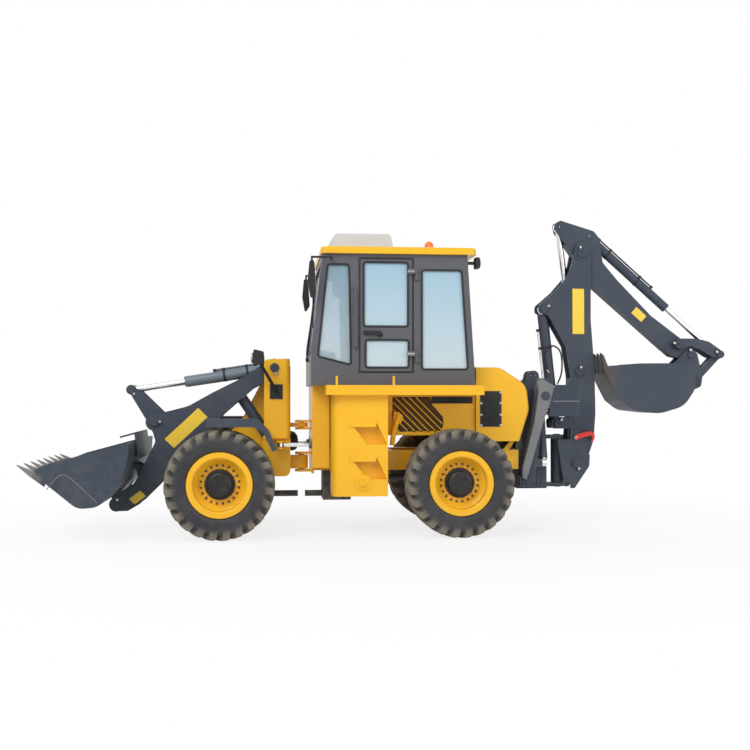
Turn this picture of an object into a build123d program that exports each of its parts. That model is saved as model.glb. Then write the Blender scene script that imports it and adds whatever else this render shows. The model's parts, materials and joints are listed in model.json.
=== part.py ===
from build123d import *
from math import asin, atan2, cos, degrees, hypot, radians, sin, sqrt
import os

# Articulated backhoe loader: front loader frame and cab frame hinged at a centre pin, backhoe behind.
#
# Millimetres. While it is being built, X runs to the rear from the front axle, Y is 0 on the centre plane
# and the left side is at negative Y, and Z runs up from the ground. The finished pieces are moved along X
# so that the origin lies on the ground under the middle of the whole machine.
# Outlines are side views: lists of (x, z) or (x, z, corner radius).

# Running gear
WHEELBASE = 2371
TRACK = 1605
TYRE_RADIUS = 537.5
TYRE_WIDTH = 400
BEAD_RADIUS = 272
BEAD_WIDTH = 300
FLANGE_RADIUS = 322
FLANGE_THICKNESS = 16
RIM_THICKNESS = 14
DISC_THICKNESS = 22
DISC_RECESS = 120
DISH_RADIUS = 196
HUB_RADIUS = 116
HUB_LENGTH = 170
NUT_COUNT = 10
STUB_RADIUS = 45
LUG_COUNT = 9
LUG_HEIGHT = 38
LUG_WIDTH = 118
LUG_SLANT = 22
LUG_OVERHANG = 7
AXLE_TUBE_RADIUS = 85
DIFFERENTIAL_RADIUS = 175
SHAFT_RADIUS = 32
SHAFT_Z = 375

# Fits and gaps
PIN_FIT = 0.08
SEAT_GAP = 0.3
MOVING_GAP = 6

# Centre hinge
STEER_X = 820
STEER_PIN_RADIUS = 30
HINGE_LUG_RADIUS = 68
STEER_RAM_Z = 900

# Loader front frame, half widths from the centre plane
INNER_PLATE = (50, 72)
ARM_PLATE = (205, 265)
OUTER_PLATE = (275, 300)
LOWER_PLATE = (235, 260)
RAM_PLANE = 140
TOWER_FRONT_X = 425
TOWER_REAR_X = 697
TOWER_TOP_Z = 1792
TOWER_SKIRT_Z = 965
FRONT_FRAME_BOTTOM_Z = 572
FRAME_PLATE = 25
TOWER_BEND_RADIUS = 60
SADDLE_TOP_Z = 800
SADDLE_BOTTOM_Z = 720
SADDLE_LENGTH = 330

# Loader linkage pins
ARM_PIVOT = (532, 1697)
BUCKET_PIN = (ARM_PIVOT[0] - 1604, ARM_PIVOT[1] - 1399)
ROCKER_PIN = (ARM_PIVOT[0] - 1225, ARM_PIVOT[1] - 561)
ROCKER_TOP_PIN = (ROCKER_PIN[0] - 247, ROCKER_PIN[1] + 333)
ROCKER_LOW_PIN = (ROCKER_PIN[0] + 335, ROCKER_PIN[1] - 372)
BUCKET_LINK_PIN = (BUCKET_PIN[0] + 234, BUCKET_PIN[1] + 338)
LIFT_EYE = (ARM_PIVOT[0] - 402, ARM_PIVOT[1] - 223)
LIFT_BASE = (ARM_PIVOT[0] + 58, ARM_PIVOT[1] - 897)
PIVOT_PIN_RADIUS = 35
LINK_PIN_RADIUS = 27
ARM_BOSS_RADIUS = 95
ARM_TIP_RADIUS = 74
CROSS_TUBE_RADIUS = 85
ROCKER_PLATES = ((94, 110), (170, 186))
LINK_HALF_WIDTH = 20

# Loader bucket
BUCKET_WIDTH = 2158
BUCKET_SHEET = 18
BUCKET_CHEEK = 22
TOOTH_COUNT = 8
TOOTH_WIDTH = 60
BUCKET_EARS = ((187, 199), (271, 287))

# Rear frame
RAIL_Y = (290, 370)
RAIL_END_X = 3080
RAIL_Z = (640, 840)
BULKHEAD_X = (915, 1090)
BULKHEAD_Z = (671, 1413)
BULKHEAD_HALF_WIDTH = 500
DECK_X = (1030, 2602)
DECK_Z = (1413, 1510)
DECK_HALF_WIDTH = 960
TANK_X = (1098, 1649)
TANK_BOTTOM_Z = 412
TANK_Y = (540, 875)
TANK_CORNER = 80
HOOD_HALF_WIDTH = 520
HOOD_SHEET = 30
VENT_X = (2650, 2864)
VENT_Z = (1090, 1450)
VENT_SLOTS = 9
VENT_PITCH = 40
PANEL_Y = (470, 488)

# Cab
CAB_HALF_WIDTH = 740
CAB_WALL = 55
CAB_FLOOR_Z = 1510
CAB_FLOOR_SHEET = 40
SEAT_PAN_Z = 365
CAB_TOP_Z = 2830
ROOF_THICKNESS = 72
ROOF_HALF_WIDTH = 785
GLASS_THICKNESS = 6
DOOR_THICKNESS = 40
DOOR_HINGE_X = 1950
DOOR_BOTTOM_Z = 1640
DOOR_TOP_Z = 2790
DOOR_FRONT_X = 1372

# Backhoe
BOOM_FOOT = (3767, 677)
SWING_X = 3590
SWING_PIN_RADIUS = 38
BOOM_PLATE = (76, 101)
STICK_HALF_WIDTH = 70
STICK_FORK_DEPTH = 190
STICK_TIP_HALF_WIDTH = 60
STICK_TIP_REACH = 165
LEVER_PLATE = (92, 110)
BUCKET_EAR = (66, 86)
YOKE_PLATE = (30, 58)
POST_PLATE = (107, 132)
STICK_PIVOT = (BOOM_FOOT[0] + 78, BOOM_FOOT[1] + 2274)
BOOM_NOSE_PIN = (BOOM_FOOT[0] - 334, BOOM_FOOT[1] + 1667)
BOOM_RAM_BASE = (BOOM_FOOT[0] - 202, BOOM_FOOT[1] + 433)
STICK_RAM_BASE = (BOOM_FOOT[0] + 49, BOOM_FOOT[1] + 984)
STICK_TAIL_PIN = (STICK_PIVOT[0] - 234, STICK_PIVOT[1] + 288)
CURL_RAM_BASE = (STICK_PIVOT[0] + 96, STICK_PIVOT[1] + 196)
DIPPER_PIN = (STICK_PIVOT[0] + 1228, STICK_PIVOT[1] - 1096)
LEVER_PIN = (DIPPER_PIN[0] - 149, DIPPER_PIN[1] + 111)
LEVER_JOINT = (DIPPER_PIN[0] + 324, DIPPER_PIN[1] + 7)
YOKE_PIN = (DIPPER_PIN[0] + 54, DIPPER_PIN[1] - 276)
HOE_PIN_RADIUS = 32
HOE_BUCKET_HALF_WIDTH = 270
HOE_SHEET = 14
HOE_TEETH = 5

# Stabilisers: leg pivot in the cross section at leg_x
LEG_PIVOT = (365, 513)
LEG_FOOT_RADIUS = 58
LEG_PIVOT_X = (3111, 3256)
LEG_RAM_X = LEG_PIVOT_X[1] + 104
LEG_EYE_HALF_WIDTH = 26
LEG_LUG = (345, 703)
LEG_RAM_TOP = (158, 1440)
LEG_PIN_RADIUS = 28
LEG_THICKNESS = 80
PAD_GAP = 25
PAD_THICKNESS = 18
PAD_TEETH = 6
PAD_TOOTH_DEPTH = 24

# Rams: name, barrel radius, rod radius
LIFT_RAM = (55, 30)
TILT_RAM = (55, 30)
STEER_RAM = (35, 20)
BOOM_RAM = (58, 32)
STICK_RAM = (55, 32)
CURL_RAM = (50, 28)
LEG_RAM = (40, 24)
EYE_GROWTH = 8
RAM_EYE_HALF_WIDTH = 18

AXLE_Z = TYRE_RADIUS

# Ranges in degrees of the joints that set their rams' shortest lengths, as the real machine has them
STEER_RANGE = (-36, 36)
LIFT_RANGE = (-7, 92)
TILT_RANGE = (0, 95)
STICK_RANGE = (0, 110)
# degrees that the rocker turns for each degree of the bucket's tilt
ROCKER_PER_TILT = -0.79
# ends of the left steering ram: (x, distance from the middle)
STEER_RAM_FRONT = (STEER_X - 230, 350)
STEER_RAM_REAR = (STEER_X + 640, 340)

# Hinge levels: tongues on the front frame, (fork below, fork above) on the rear frame
HINGE_TONGUES = ((640, 780), (1078, 1122))
HINGE_FORKS = (((606, 631), (789, 814)), ((1050, 1072), (1128, 1150)))

# Side views of engine cover and cab: (x, z) or (x, z, corner radius)
HOOD_FRONT_X = DECK_X[1] + SEAT_GAP
HOOD_OUTLINE = [(HOOD_FRONT_X, 1704), (2859, 1704, 150), (3143, 1518, 170), (3169, 1258, 200), (3067, 937),
                (HOOD_FRONT_X, 937)]
HOOD_INSIDE = [(2570, 1674), (2840, 1674, 120), (3112, 1500, 150), (3138, 1258, 170), (3040, 930),
               (2570, 930)]
CAB_OUTLINE = [(892, CAB_FLOOR_Z), (892, 1812), (1005, CAB_TOP_Z), (2474, CAB_TOP_Z), (2554, CAB_FLOOR_Z)]
QUARTER_WINDOW = [(1058, 2721), (1270, 2721), (1290, 1717), (962, 1800)]
REAR_SIDE_WINDOW = [(2008, 2672), (2412, 2672), (2476, 1673), (2008, 1673)]
DOOR_WINDOWS = ([(1419, 2746), (1865, 2746), (1865, 2103), (1419, 2103)],
                [(1439, 1965), (1871, 1965), (1871, 1690), (1439, 1690)])
DOOR_OUTLINE = [(DOOR_FRONT_X, DOOR_BOTTOM_Z), (DOOR_FRONT_X, DOOR_TOP_Z), (DOOR_HINGE_X - 30, DOOR_TOP_Z),
                (DOOR_HINGE_X - 30, DOOR_BOTTOM_Z)]
# windows in the sloping walls: (sill z, head z, half width)
WINDSHIELD = (1830, 2760, 640)
REAR_WINDOW = (1690, 2740, 600)

# King pin levels: lugs of the frame and the post's tube between them
KING_LUGS = ((430, 470), (945, 985))
KING_EYE = (476, 939)
KING_LUG_RADIUS = 80
KING_TUBE_RADIUS = 66
MAST_X = (3178, 3400)
MAST_TOP_Z = 1500
BASE_TOP_Z = 722
MAST_HALF_WIDTH = 98
LIFTING_EYE = (3310, 1626)
LIFTING_BORE_RADIUS = 25

# The machine's ends, from which the middle of its length follows
TOOTH_REACH = 816
LEVER_END_RADIUS = 50
FRONT_END_X = BUCKET_PIN[0] - TOOTH_REACH
REAR_END_X = LEVER_JOINT[0] + LEVER_END_RADIUS
CENTRE_X = (FRONT_END_X + REAR_END_X) / 2


def prism(points, y_low, y_high):
    """Solid between two Y planes whose side view has these corners, rounded where a radius is given."""
    corners = [(p[0], p[1]) for p in points]
    radii = [p[2] if len(p) > 2 else 0 for p in points]
    if any(radii):
        face = make_face(FilletPolyline(*corners, radius=radii, close=True))
    else:
        face = make_face(Polyline(*corners, close=True))
    side = Plane(origin=(0, y_low, 0), x_dir=(1, 0, 0), z_dir=(0, -1, 0)) * face
    return extrude(side, amount=y_high - y_low, dir=(0, 1, 0))


def box(x, y, z):
    """Box from three (low, high) pairs."""
    size = [high - low for low, high in (x, y, z)]
    middle = [(high + low) / 2 for low, high in (x, y, z)]
    return Pos(*middle) * Box(*size)


def bar_y(x, z, radius, y_low, y_high):
    """Round bar across the machine."""
    return Pos(x, (y_low + y_high) / 2, z) * Rot(90, 0, 0) * Cylinder(radius, y_high - y_low)


def bar_z(x, y, radius, z_low, z_high):
    """Upright round bar."""
    return Pos(x, y, (z_low + z_high) / 2) * Cylinder(radius, z_high - z_low)


def bar_x(y, z, radius, x_low, x_high):
    """Round bar along the machine."""
    return Pos((x_low + x_high) / 2, y, z) * Rot(0, 90, 0) * Cylinder(radius, x_high - x_low)


def left(inner, outer):
    """The Y range of a layer on the left side."""
    return -outer, -inner


def both(shape):
    """The shape and its mirror image on the right side."""
    return shape + mirror(shape, about=Plane.XZ)


def reach(start, end):
    """Distance between two points of the side view."""
    return hypot(end[0] - start[0], end[1] - start[1])


def ram(base, eye, width, sizes, barrel_length, rod_length, pin_radius, eye_half=RAM_EYE_HALF_WIDTH):
    """Barrel and rod of a ram from base to eye, both (x, y, z), with its pins along width."""
    barrel_radius, rod_radius = sizes
    start, end = Vector(*base), Vector(*eye)
    length = (end - start).length
    frame = Plane(origin=start, x_dir=width, z_dir=(end - start).normalized())
    knuckle = pin_radius + EYE_GROWTH * 2
    eye_bar = Rot(0, 90, 0) * Cylinder(knuckle, 2 * eye_half)
    neck = knuckle * 0.8
    barrel = Pos(0, 0, (barrel_length + neck) / 2) * Cylinder(barrel_radius, barrel_length - neck)
    barrel += eye_bar
    barrel -= Rot(0, 90, 0) * Cylinder(pin_radius + PIN_FIT, 4 * eye_half)
    bore = Cylinder(rod_radius + PIN_FIT, barrel_length - knuckle)
    hollow = Pos(0, 0, (barrel_length + knuckle) / 2) * bore
    barrel -= hollow
    rod = Pos(0, 0, length - (rod_length + neck) / 2) * Cylinder(rod_radius, rod_length - neck)
    rod += Pos(0, 0, length) * eye_bar
    return frame * barrel, frame * rod


# Ram lengths: barrels end short of the retracted eye, rods reach almost to the barrel's foot
def ram_lengths(shortest, pin_radius):
    """Barrel and rod length of a ram whose pins come no closer than shortest."""
    knuckle = pin_radius + EYE_GROWTH * 2
    barrel_length = shortest - knuckle - MOVING_GAP
    rod_length = shortest - knuckle - MOVING_GAP
    return barrel_length, rod_length


def turned(point, centre, angle):
    """A side-view point turned about a centre, positive from X towards Z."""
    a = radians(angle)
    dx, dz = point[0] - centre[0], point[1] - centre[1]
    return centre[0] + dx * cos(a) - dz * sin(a), centre[1] + dx * sin(a) + dz * cos(a)


SHORTEST = {
    "lift": reach(LIFT_BASE, turned(LIFT_EYE, ARM_PIVOT, -LIFT_RANGE[0])),
    "tilt": reach(ARM_PIVOT, turned(ROCKER_TOP_PIN, ROCKER_PIN, TILT_RANGE[1] * ROCKER_PER_TILT)),
    "steer": reach(STEER_RAM_REAR, turned(STEER_RAM_FRONT, (STEER_X, 0), -STEER_RANGE[1])),
    "boom": reach(BOOM_RAM_BASE, BOOM_NOSE_PIN),
    "stick": reach(STICK_RAM_BASE, turned(STICK_TAIL_PIN, STICK_PIVOT, STICK_RANGE[1])),
    "leg": reach(LEG_RAM_TOP, LEG_LUG),
    "curl": 1228,
}


def tyre(side, x):
    """One tyre: carcass with flat tread and two staggered rows of slanted lugs that wrap the shoulders."""
    wide, bead = TYRE_WIDTH / 2, BEAD_WIDTH / 2
    half = wide - LUG_OVERHANG
    crown = TYRE_RADIUS - LUG_HEIGHT
    root = crown - 70
    section = [
        (BEAD_RADIUS, -bead), (BEAD_RADIUS, bead), (FLANGE_RADIUS + 8, bead + 12), (crown - 110, half),
        (crown, half - 34),
        (crown, 34 - half), (crown - 110, -half), (FLANGE_RADIUS + 8, -bead - 12),
    ]
    body = revolve(make_face(Polyline(*section, close=True)), Axis.Y, 360)
    # a lug's flat top lies so low that its corners, this far round, are at the tyre's radius
    slant = radians(LUG_SLANT)
    middle, inner = wide / 2 + 4, 8
    corner = LUG_WIDTH / 2 / cos(slant) + (middle - inner) * sin(slant) / cos(slant)
    top = sqrt(TYRE_RADIUS ** 2 - corner ** 2)
    lug = Pos((root + top) / 2, middle, 0) * Rot(LUG_SLANT, 0, 0) * Box(top - root, wide + 60, LUG_WIDTH)
    outline = [(root, inner), (top, inner), (top, wide - 36), (crown - 12, wide), (root, wide)]
    lug &= extrude(make_face(Polyline(*outline, close=True)), amount=2 * LUG_WIDTH, both=True)
    # the first lug's corner points straight down
    pitch, start = 360 / LUG_COUNT, 90 - degrees(asin(corner / TYRE_RADIUS))
    lugs = []
    for index in range(LUG_COUNT):
        lugs.append(Rot(0, start + pitch * index, 0) * lug)
        lugs.append(Rot(0, start + pitch * (index + 0.5), 0) * mirror(lug, about=Plane.XZ))
    return Pos(x, side * TRACK / 2, AXLE_Z) * (body + lugs)


def rim(side, x):
    """Rim with rolled flanges, recessed dished disc with nuts and the hub; side is -1 on the left."""
    bead = BEAD_WIDTH / 2
    outer = BEAD_RADIUS - SEAT_GAP
    lip = bead + 12 + SEAT_GAP
    inner = outer - RIM_THICKNESS
    disc = bead - DISC_RECESS
    bore = STUB_RADIUS + PIN_FIT
    hub_end = disc + HUB_LENGTH * 0.55
    # (radius, distance outboard of the tyre's middle)
    section = [
        (bore, disc - DISC_THICKNESS), (inner, disc - DISC_THICKNESS), (inner, -lip - FLANGE_THICKNESS + 8),
        (inner + 12, -lip - FLANGE_THICKNESS), (FLANGE_RADIUS, -lip - FLANGE_THICKNESS),
        (FLANGE_RADIUS, -lip), (outer, -lip), (outer, lip),
        (FLANGE_RADIUS - 6, lip), (FLANGE_RADIUS, lip + 6), (FLANGE_RADIUS - 6, lip + FLANGE_THICKNESS),
        (inner + 14, lip + FLANGE_THICKNESS), (inner, lip + FLANGE_THICKNESS - 12), (inner - 4, disc + 45),
        (DISH_RADIUS, disc), (HUB_RADIUS + 30, disc), (HUB_RADIUS + 26, disc + 22), (HUB_RADIUS, disc + 24),
        (HUB_RADIUS - 4, hub_end - 12), (HUB_RADIUS - 18, hub_end), (0, hub_end), (0, disc + 30),
        (bore, disc + 30),
    ]
    wheel = revolve(make_face(Polyline(*section, close=True)), Axis.Y, 360)
    ring = HUB_RADIUS + 46
    nuts = [Rot(0, 36 * index, 0)
            * (Pos(ring, disc + 8, 0) * Rot(90, 0, 0) * extrude(RegularPolygon(13, 6), amount=9, both=True))
            for index in range(NUT_COUNT)]
    wheel += nuts
    if side < 0:
        wheel = mirror(wheel, about=Plane.XZ)
    return Pos(x, side * TRACK / 2, AXLE_Z) * wheel


def axle(x, pad_y, pad_top):
    """Drive axle: tube, differential, stubs into the hubs and pads under the frame."""
    face_y = TRACK / 2 + BEAD_WIDTH / 2 - DISC_RECESS - DISC_THICKNESS - MOVING_GAP
    body = bar_y(x, AXLE_Z, AXLE_TUBE_RADIUS, -face_y, face_y)
    body += bar_y(x, AXLE_Z, STUB_RADIUS, -face_y - DISC_THICKNESS - 30, face_y + DISC_THICKNESS + 30)
    body += Pos(x, 0, AXLE_Z) * Sphere(DIFFERENTIAL_RADIUS)
    pads = box((x - 90, x + 90), left(*pad_y), (AXLE_Z, pad_top))
    return body + both(pads)


def front_axle():
    """Front axle with the front half of the drive shaft."""
    shaft_end = STEER_X - SHAFT_RADIUS - MOVING_GAP
    body = axle(0, (150, 290), SADDLE_BOTTOM_Z)
    nose = Pos(DIFFERENTIAL_RADIUS - 30, 0, (AXLE_Z + SHAFT_Z) / 2) * Box(130, 120, 220)
    return body + nose + bar_x(0, SHAFT_Z, SHAFT_RADIUS, DIFFERENTIAL_RADIUS, shaft_end)


def rear_driveline():
    """Rear axle, transmission, shafts and the engine as one plain block."""
    body = axle(WHEELBASE, RAIL_Y, RAIL_Z[0])
    case_x = (1040, 1330)
    case = box(case_x, (-210, 210), (SHAFT_Z - 55, 820))
    case += bar_x(0, SHAFT_Z, SHAFT_RADIUS, STEER_X + SHAFT_RADIUS + MOVING_GAP, case_x[0])
    case += bar_x(0, AXLE_Z, SHAFT_RADIUS, case_x[1], WHEELBASE - DIFFERENTIAL_RADIUS + 20)
    engine = box((2420, 3040), (-RAIL_Y[0] + SEAT_GAP, RAIL_Y[0] - SEAT_GAP), (760, 1400))
    return body + case + engine


def front_frame():
    """Loader tower, axle saddle and hinge tongues of the front frame."""
    x, z = ARM_PIVOT
    front, rear = TOWER_FRONT_X, TOWER_REAR_X
    tower = [(front, TOWER_SKIRT_Z), (rear, TOWER_SKIRT_Z), (rear, TOWER_TOP_Z, 20),
             (front, TOWER_TOP_Z - 10, 40)]
    lower = [(front - 10, FRONT_FRAME_BOTTOM_Z, 60), (rear, FRONT_FRAME_BOTTOM_Z, 60),
             (rear, TOWER_SKIRT_Z + FRAME_PLATE),
             (front - 10, TOWER_SKIRT_Z + FRAME_PLATE)]
    half_saddle = SADDLE_LENGTH / 2
    gusset = [(-half_saddle, SADDLE_BOTTOM_Z), (half_saddle + 20, SADDLE_BOTTOM_Z),
              (front - 10, FRONT_FRAME_BOTTOM_Z), (rear, FRONT_FRAME_BOTTOM_Z, 60),
              (rear, TOWER_TOP_Z, 20), (front, TOWER_TOP_Z - 10, 40), (front - 10, z - 110),
              (165, 1105, 40),
              (-half_saddle, 860)]
    half = prism(tower, *left(*OUTER_PLATE))
    half += prism(lower, *left(*LOWER_PLATE))
    half += prism(gusset, *left(*INNER_PLATE))
    half += box((front, rear), left(LOWER_PLATE[0], OUTER_PLATE[1]),
                (TOWER_SKIRT_Z, TOWER_SKIRT_Z + FRAME_PLATE))
    half += box((-half_saddle, front), left(*LOWER_PLATE), (SADDLE_BOTTOM_Z, SADDLE_TOP_Z))
    half += bar_y(x, z, PIVOT_PIN_RADIUS, -OUTER_PLATE[1] - 12, -INNER_PLATE[0])
    half += bar_y(*LIFT_BASE, PIVOT_PIN_RADIUS, *left(INNER_PLATE[0], LOWER_PLATE[1]))
    pin_x, pin_y = STEER_RAM_FRONT
    for low in (STEER_RAM_Z - 42, STEER_RAM_Z + RAM_EYE_HALF_WIDTH + MOVING_GAP):
        half += box((pin_x - 40, pin_x + 40), left(LOWER_PLATE[0], pin_y), (low, low + 18))
        half += bar_z(pin_x, -pin_y, 40, low, low + 18)
    body = both(half)
    rear_plate = box((rear - FRAME_PLATE, rear), (-OUTER_PLATE[1], OUTER_PLATE[1]), (TOWER_SKIRT_Z, z + 15))
    rear_plate += box((rear - FRAME_PLATE, rear), left(-LOWER_PLATE[1], LOWER_PLATE[1]),
                      (FRONT_FRAME_BOTTOM_Z + 60, TOWER_SKIRT_Z))
    body += rear_plate
    saddle = box((-half_saddle, half_saddle), (-LOWER_PLATE[1], LOWER_PLATE[1]),
                 (SADDLE_BOTTOM_Z, SADDLE_TOP_Z))
    body += saddle
    for low, high in HINGE_TONGUES:
        tongue = box((rear - FRAME_PLATE, STEER_X), (-HINGE_LUG_RADIUS, HINGE_LUG_RADIUS), (low, high))
        tongue += bar_z(STEER_X, 0, HINGE_LUG_RADIUS, low, high)
        body += tongue - bar_z(STEER_X, 0, STEER_PIN_RADIUS + PIN_FIT, low - 1, high + 1)
    corner = Plane.XY * (Pos(rear, -OUTER_PLATE[1])
                         * Rectangle(2 * TOWER_BEND_RADIUS, 2 * TOWER_BEND_RADIUS))
    corner -= Pos(rear - TOWER_BEND_RADIUS, -OUTER_PLATE[1] + TOWER_BEND_RADIUS) * Circle(TOWER_BEND_RADIUS)
    short, long = 2 * TOWER_BEND_RADIUS, 4 * TOWER_BEND_RADIUS
    keep = Pos(rear - short, -OUTER_PLATE[1]) * Rectangle(short, long)
    keep += Pos(rear, -OUTER_PLATE[1] + short) * Rectangle(long, short)
    corner -= keep
    trim = Pos(0, 0, TOWER_SKIRT_Z - 1) * extrude(corner, amount=TOWER_TOP_Z - TOWER_SKIRT_Z + 2)
    return body - both(trim)


def front_fenders():
    """Bent mudguards over the front wheels and their brackets on the tower."""
    top = [(-124, 1179), (360, 1178), (467, 1071), (555, 875)]
    under = [(506, 868), (425, 1040), (335, 1100), (-124, 1100)]
    inside = [(-130, 1167), (355, 1166), (455, 1066), (541, 870), (480, 830), (330, 1060), (-130, 1060)]
    inner, outer = TRACK / 2 - TYRE_WIDTH / 2 + 38, TRACK / 2 + TYRE_WIDTH / 2 - 12
    guard = prism(top + under, *left(inner, outer))
    guard -= prism(inside, *left(inner + 10, outer - 10))
    bracket = prism([(440, 1000), (468, 1000), (468, 1060), (440, 1088)], *left(OUTER_PLATE[1], inner + 5))
    return both(guard + bracket)


def headlamps():
    """Lamps on stalks bolted to the sides of the tower."""
    outer = OUTER_PLATE[1]
    plate = box((485, 616), left(outer, outer + 12), (1373, 1524))
    for x in (505, 596):
        for z in (1393, 1504):
            plate += bar_y(x, z, 9, -outer - 20, -outer - 11)
    foot, head = (560, outer + 22, 1440), (390, 560, 1730)
    start, end = Vector(foot[0], -foot[1], foot[2]), Vector(head[0], -head[1], head[2])
    line = end - start
    along = Plane(origin=start, z_dir=line.normalized())
    stalk = along * Pos(0, 0, line.length / 2) * Cylinder(16, line.length)
    shell = prism([(318, 1704, 15), (425, 1730, 25), (425, 1850, 25), (318, 1875, 15)], *left(500, 620))
    shell += bar_x(-560, 1790, 52, 300, 330)
    return both(plate + stalk + shell)


def loader_arms():
    """Two lift arms with a cross tube, pivot bores and the bosses of the lift rams."""
    px, pz = ARM_PIVOT
    kx, kz = BUCKET_PIN
    rx, rz = ROCKER_PIN
    # side view from the tower down the upper edge and back along the lower one
    outline = [
        (px - 52, pz + 79), (px - 347, pz - 112, 300), (px - 632, pz - 256), (px - 887, pz - 399, 300),
        (px - 1184, pz - 474), (rx - 45, rz + 60), (rx - 30, rz - 60), (rx + 12, rz - 199, 60),
        (kx + 259, kz + 367), (kx + 183, kz + 214), (kx - 50, kz + 50), (kx - 10, kz - 70),
        (kx + 116, kz - 68),
        (kx + 239, kz + 4, 60), (kx + 451, kz + 216), (px - 527, pz - 483), (px - 225, pz - 217),
        (px + 60, pz - 72),
    ]
    plate = prism(outline, *left(*ARM_PLATE))
    plate += bar_y(px, pz, ARM_BOSS_RADIUS, *left(*ARM_PLATE))
    plate += bar_y(kx, kz, ARM_TIP_RADIUS, *left(*ARM_PLATE))
    plate += bar_y(rx, rz, ARM_BOSS_RADIUS - 5, *left(*ARM_PLATE))
    plate -= bar_y(px, pz, PIVOT_PIN_RADIUS + PIN_FIT, *left(ARM_PLATE[0] - 5, ARM_PLATE[1] + 5))
    plate -= bar_y(kx, kz, LINK_PIN_RADIUS + PIN_FIT, *left(ARM_PLATE[0] - 5, ARM_PLATE[1] + 5))
    plate += bar_y(rx, rz, LINK_PIN_RADIUS, *left(ROCKER_PLATES[0][0] - 8, ARM_PLATE[1] + 14))
    plate += bar_y(*LIFT_EYE, 45, *left(RAM_PLANE + LIFT_RAM[1] + MOVING_GAP, ARM_PLATE[0]))
    tube = bar_y(px - 930, pz - 640, CROSS_TUBE_RADIUS, -ARM_PLATE[0], ARM_PLATE[0])
    return both(plate) + tube


def rockers():
    """Two forked rockers between the tilt rods and the bucket links."""
    tx, tz = ROCKER_TOP_PIN
    qx, qz = ROCKER_LOW_PIN
    rx, rz = ROCKER_PIN
    outline = [(tx - 45, tz + 20), (tx + 30, tz + 42), (rx + 75, rz + 90, 60), (rx + 95, rz - 50, 40),
               (qx + 45, qz + 20), (qx - 10, qz - 45), (rx - 30, rz - 100, 60), (rx - 85, rz + 10, 40)]
    body = Part()
    for low, high in ROCKER_PLATES:
        plate = prism(outline, *left(low, high))
        plate += bar_y(tx, tz, 50, *left(low, high)) + bar_y(qx, qz, 48, *left(low, high))
        body += plate
    inner, outer = ROCKER_PLATES[0][0], ROCKER_PLATES[1][1]
    body += bar_y(rx, rz, 62, *left(inner, outer))
    body -= bar_y(rx, rz, LINK_PIN_RADIUS + PIN_FIT, *left(inner - 5, outer + 5))
    body += bar_y(qx, qz, LINK_PIN_RADIUS, *left(inner, outer))
    return both(body)


def bucket_links():
    """Links from the rockers to the bucket, open at the bucket's lugs."""
    qx, qz = ROCKER_LOW_PIN
    lx, lz = BUCKET_LINK_PIN
    low, high = RAM_PLANE - LINK_HALF_WIDTH, RAM_PLANE + LINK_HALF_WIDTH
    angle = atan2(qz - lz, qx - lx)
    nx, nz = -sin(angle) * 34, cos(angle) * 34
    bar = prism([(lx + nx, lz + nz), (qx + nx, qz + nz), (qx - nx, qz - nz), (lx - nx, lz - nz)],
                *left(low, high))
    bar += bar_y(qx, qz, 44, *left(low, high)) + bar_y(lx, lz, 40, *left(low, high))
    bar -= bar_y(qx, qz, LINK_PIN_RADIUS + PIN_FIT, *left(low - 5, high + 5))
    return both(bar)


def bucket_section(offset):
    """Side view of the bucket's sheet, moved inwards by offset."""
    kx, kz = BUCKET_PIN
    return [
        (kx - 690 + offset, kz + 395), (kx - 250 + offset * 0.6, kz + 35 + offset, 160),
        (kx - 60 - offset * 0.2, kz + 52 + offset, 160), (kx + 132 - offset, kz + 250 + offset * 0.4, 200),
        (kx + 212 - offset, kz + 480, 60), (kx + 222 - offset, kz + 650),
    ]


def loader_bucket():
    """Wide bucket with cheeks, teeth, a spill guard and its hinge ears."""
    kx, kz = BUCKET_PIN
    half = BUCKET_WIDTH / 2
    rim_line = [(kx + 199, kz + 655), (kx + 34, kz + 613), (kx - 517, kz + 465), (kx - 665, kz + 407)]
    shell = prism(bucket_section(0) + rim_line, -half, half)
    hollow = prism(bucket_section(BUCKET_SHEET) + [(kx + 195, kz + 800), (kx - 760, kz + 600)],
                   -half + BUCKET_CHEEK, half - BUCKET_CHEEK)
    shell -= hollow
    guard = [(kx + 60, kz + 700), (kx + 222, kz + 745), (kx + 262, kz + 480), (kx + 240, kz + 480),
             (kx + 206, kz + 722),
             (kx + 66, kz + 684)]
    shell += prism(guard, -500, 500)
    tooth = [(kx - 816, kz + 454), (kx - 690, kz + 345), (kx - 560, kz + 250), (kx - 560, kz + 290),
             (kx - 700, kz + 410)]
    pitch = (BUCKET_WIDTH - TOOTH_WIDTH - 10) / (TOOTH_COUNT - 1)
    for index in range(TOOTH_COUNT):
        middle = -half + 5 + TOOTH_WIDTH / 2 + index * pitch
        shell += prism(tooth, middle - TOOTH_WIDTH / 2, middle + TOOTH_WIDTH / 2)
    ears = Part()
    ear = [(kx - 60, kz + 10), (kx - 10, kz - 55), (kx + 50, kz - 30), (kx + 170, kz + 250),
           (kx + 100, kz + 160),
           (kx - 40, kz + 80)]
    for low, high in BUCKET_EARS:
        ears += prism(ear, *left(low, high))
    ears += bar_y(kx, kz, LINK_PIN_RADIUS, *left(BUCKET_EARS[0][0], BUCKET_EARS[1][1]))
    lx, lz = BUCKET_LINK_PIN
    lug = [(lx + 35, lz + 30), (lx + 10, lz + 48), (lx - 60, lz + 75), (lx - 20, lz - 120),
           (lx + 40, lz - 20)]
    for low, high in ((98, 112), (168, 182)):
        ears += prism([(x, z) for x, z in lug], *left(low, high))
    return shell + both(ears)


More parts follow.
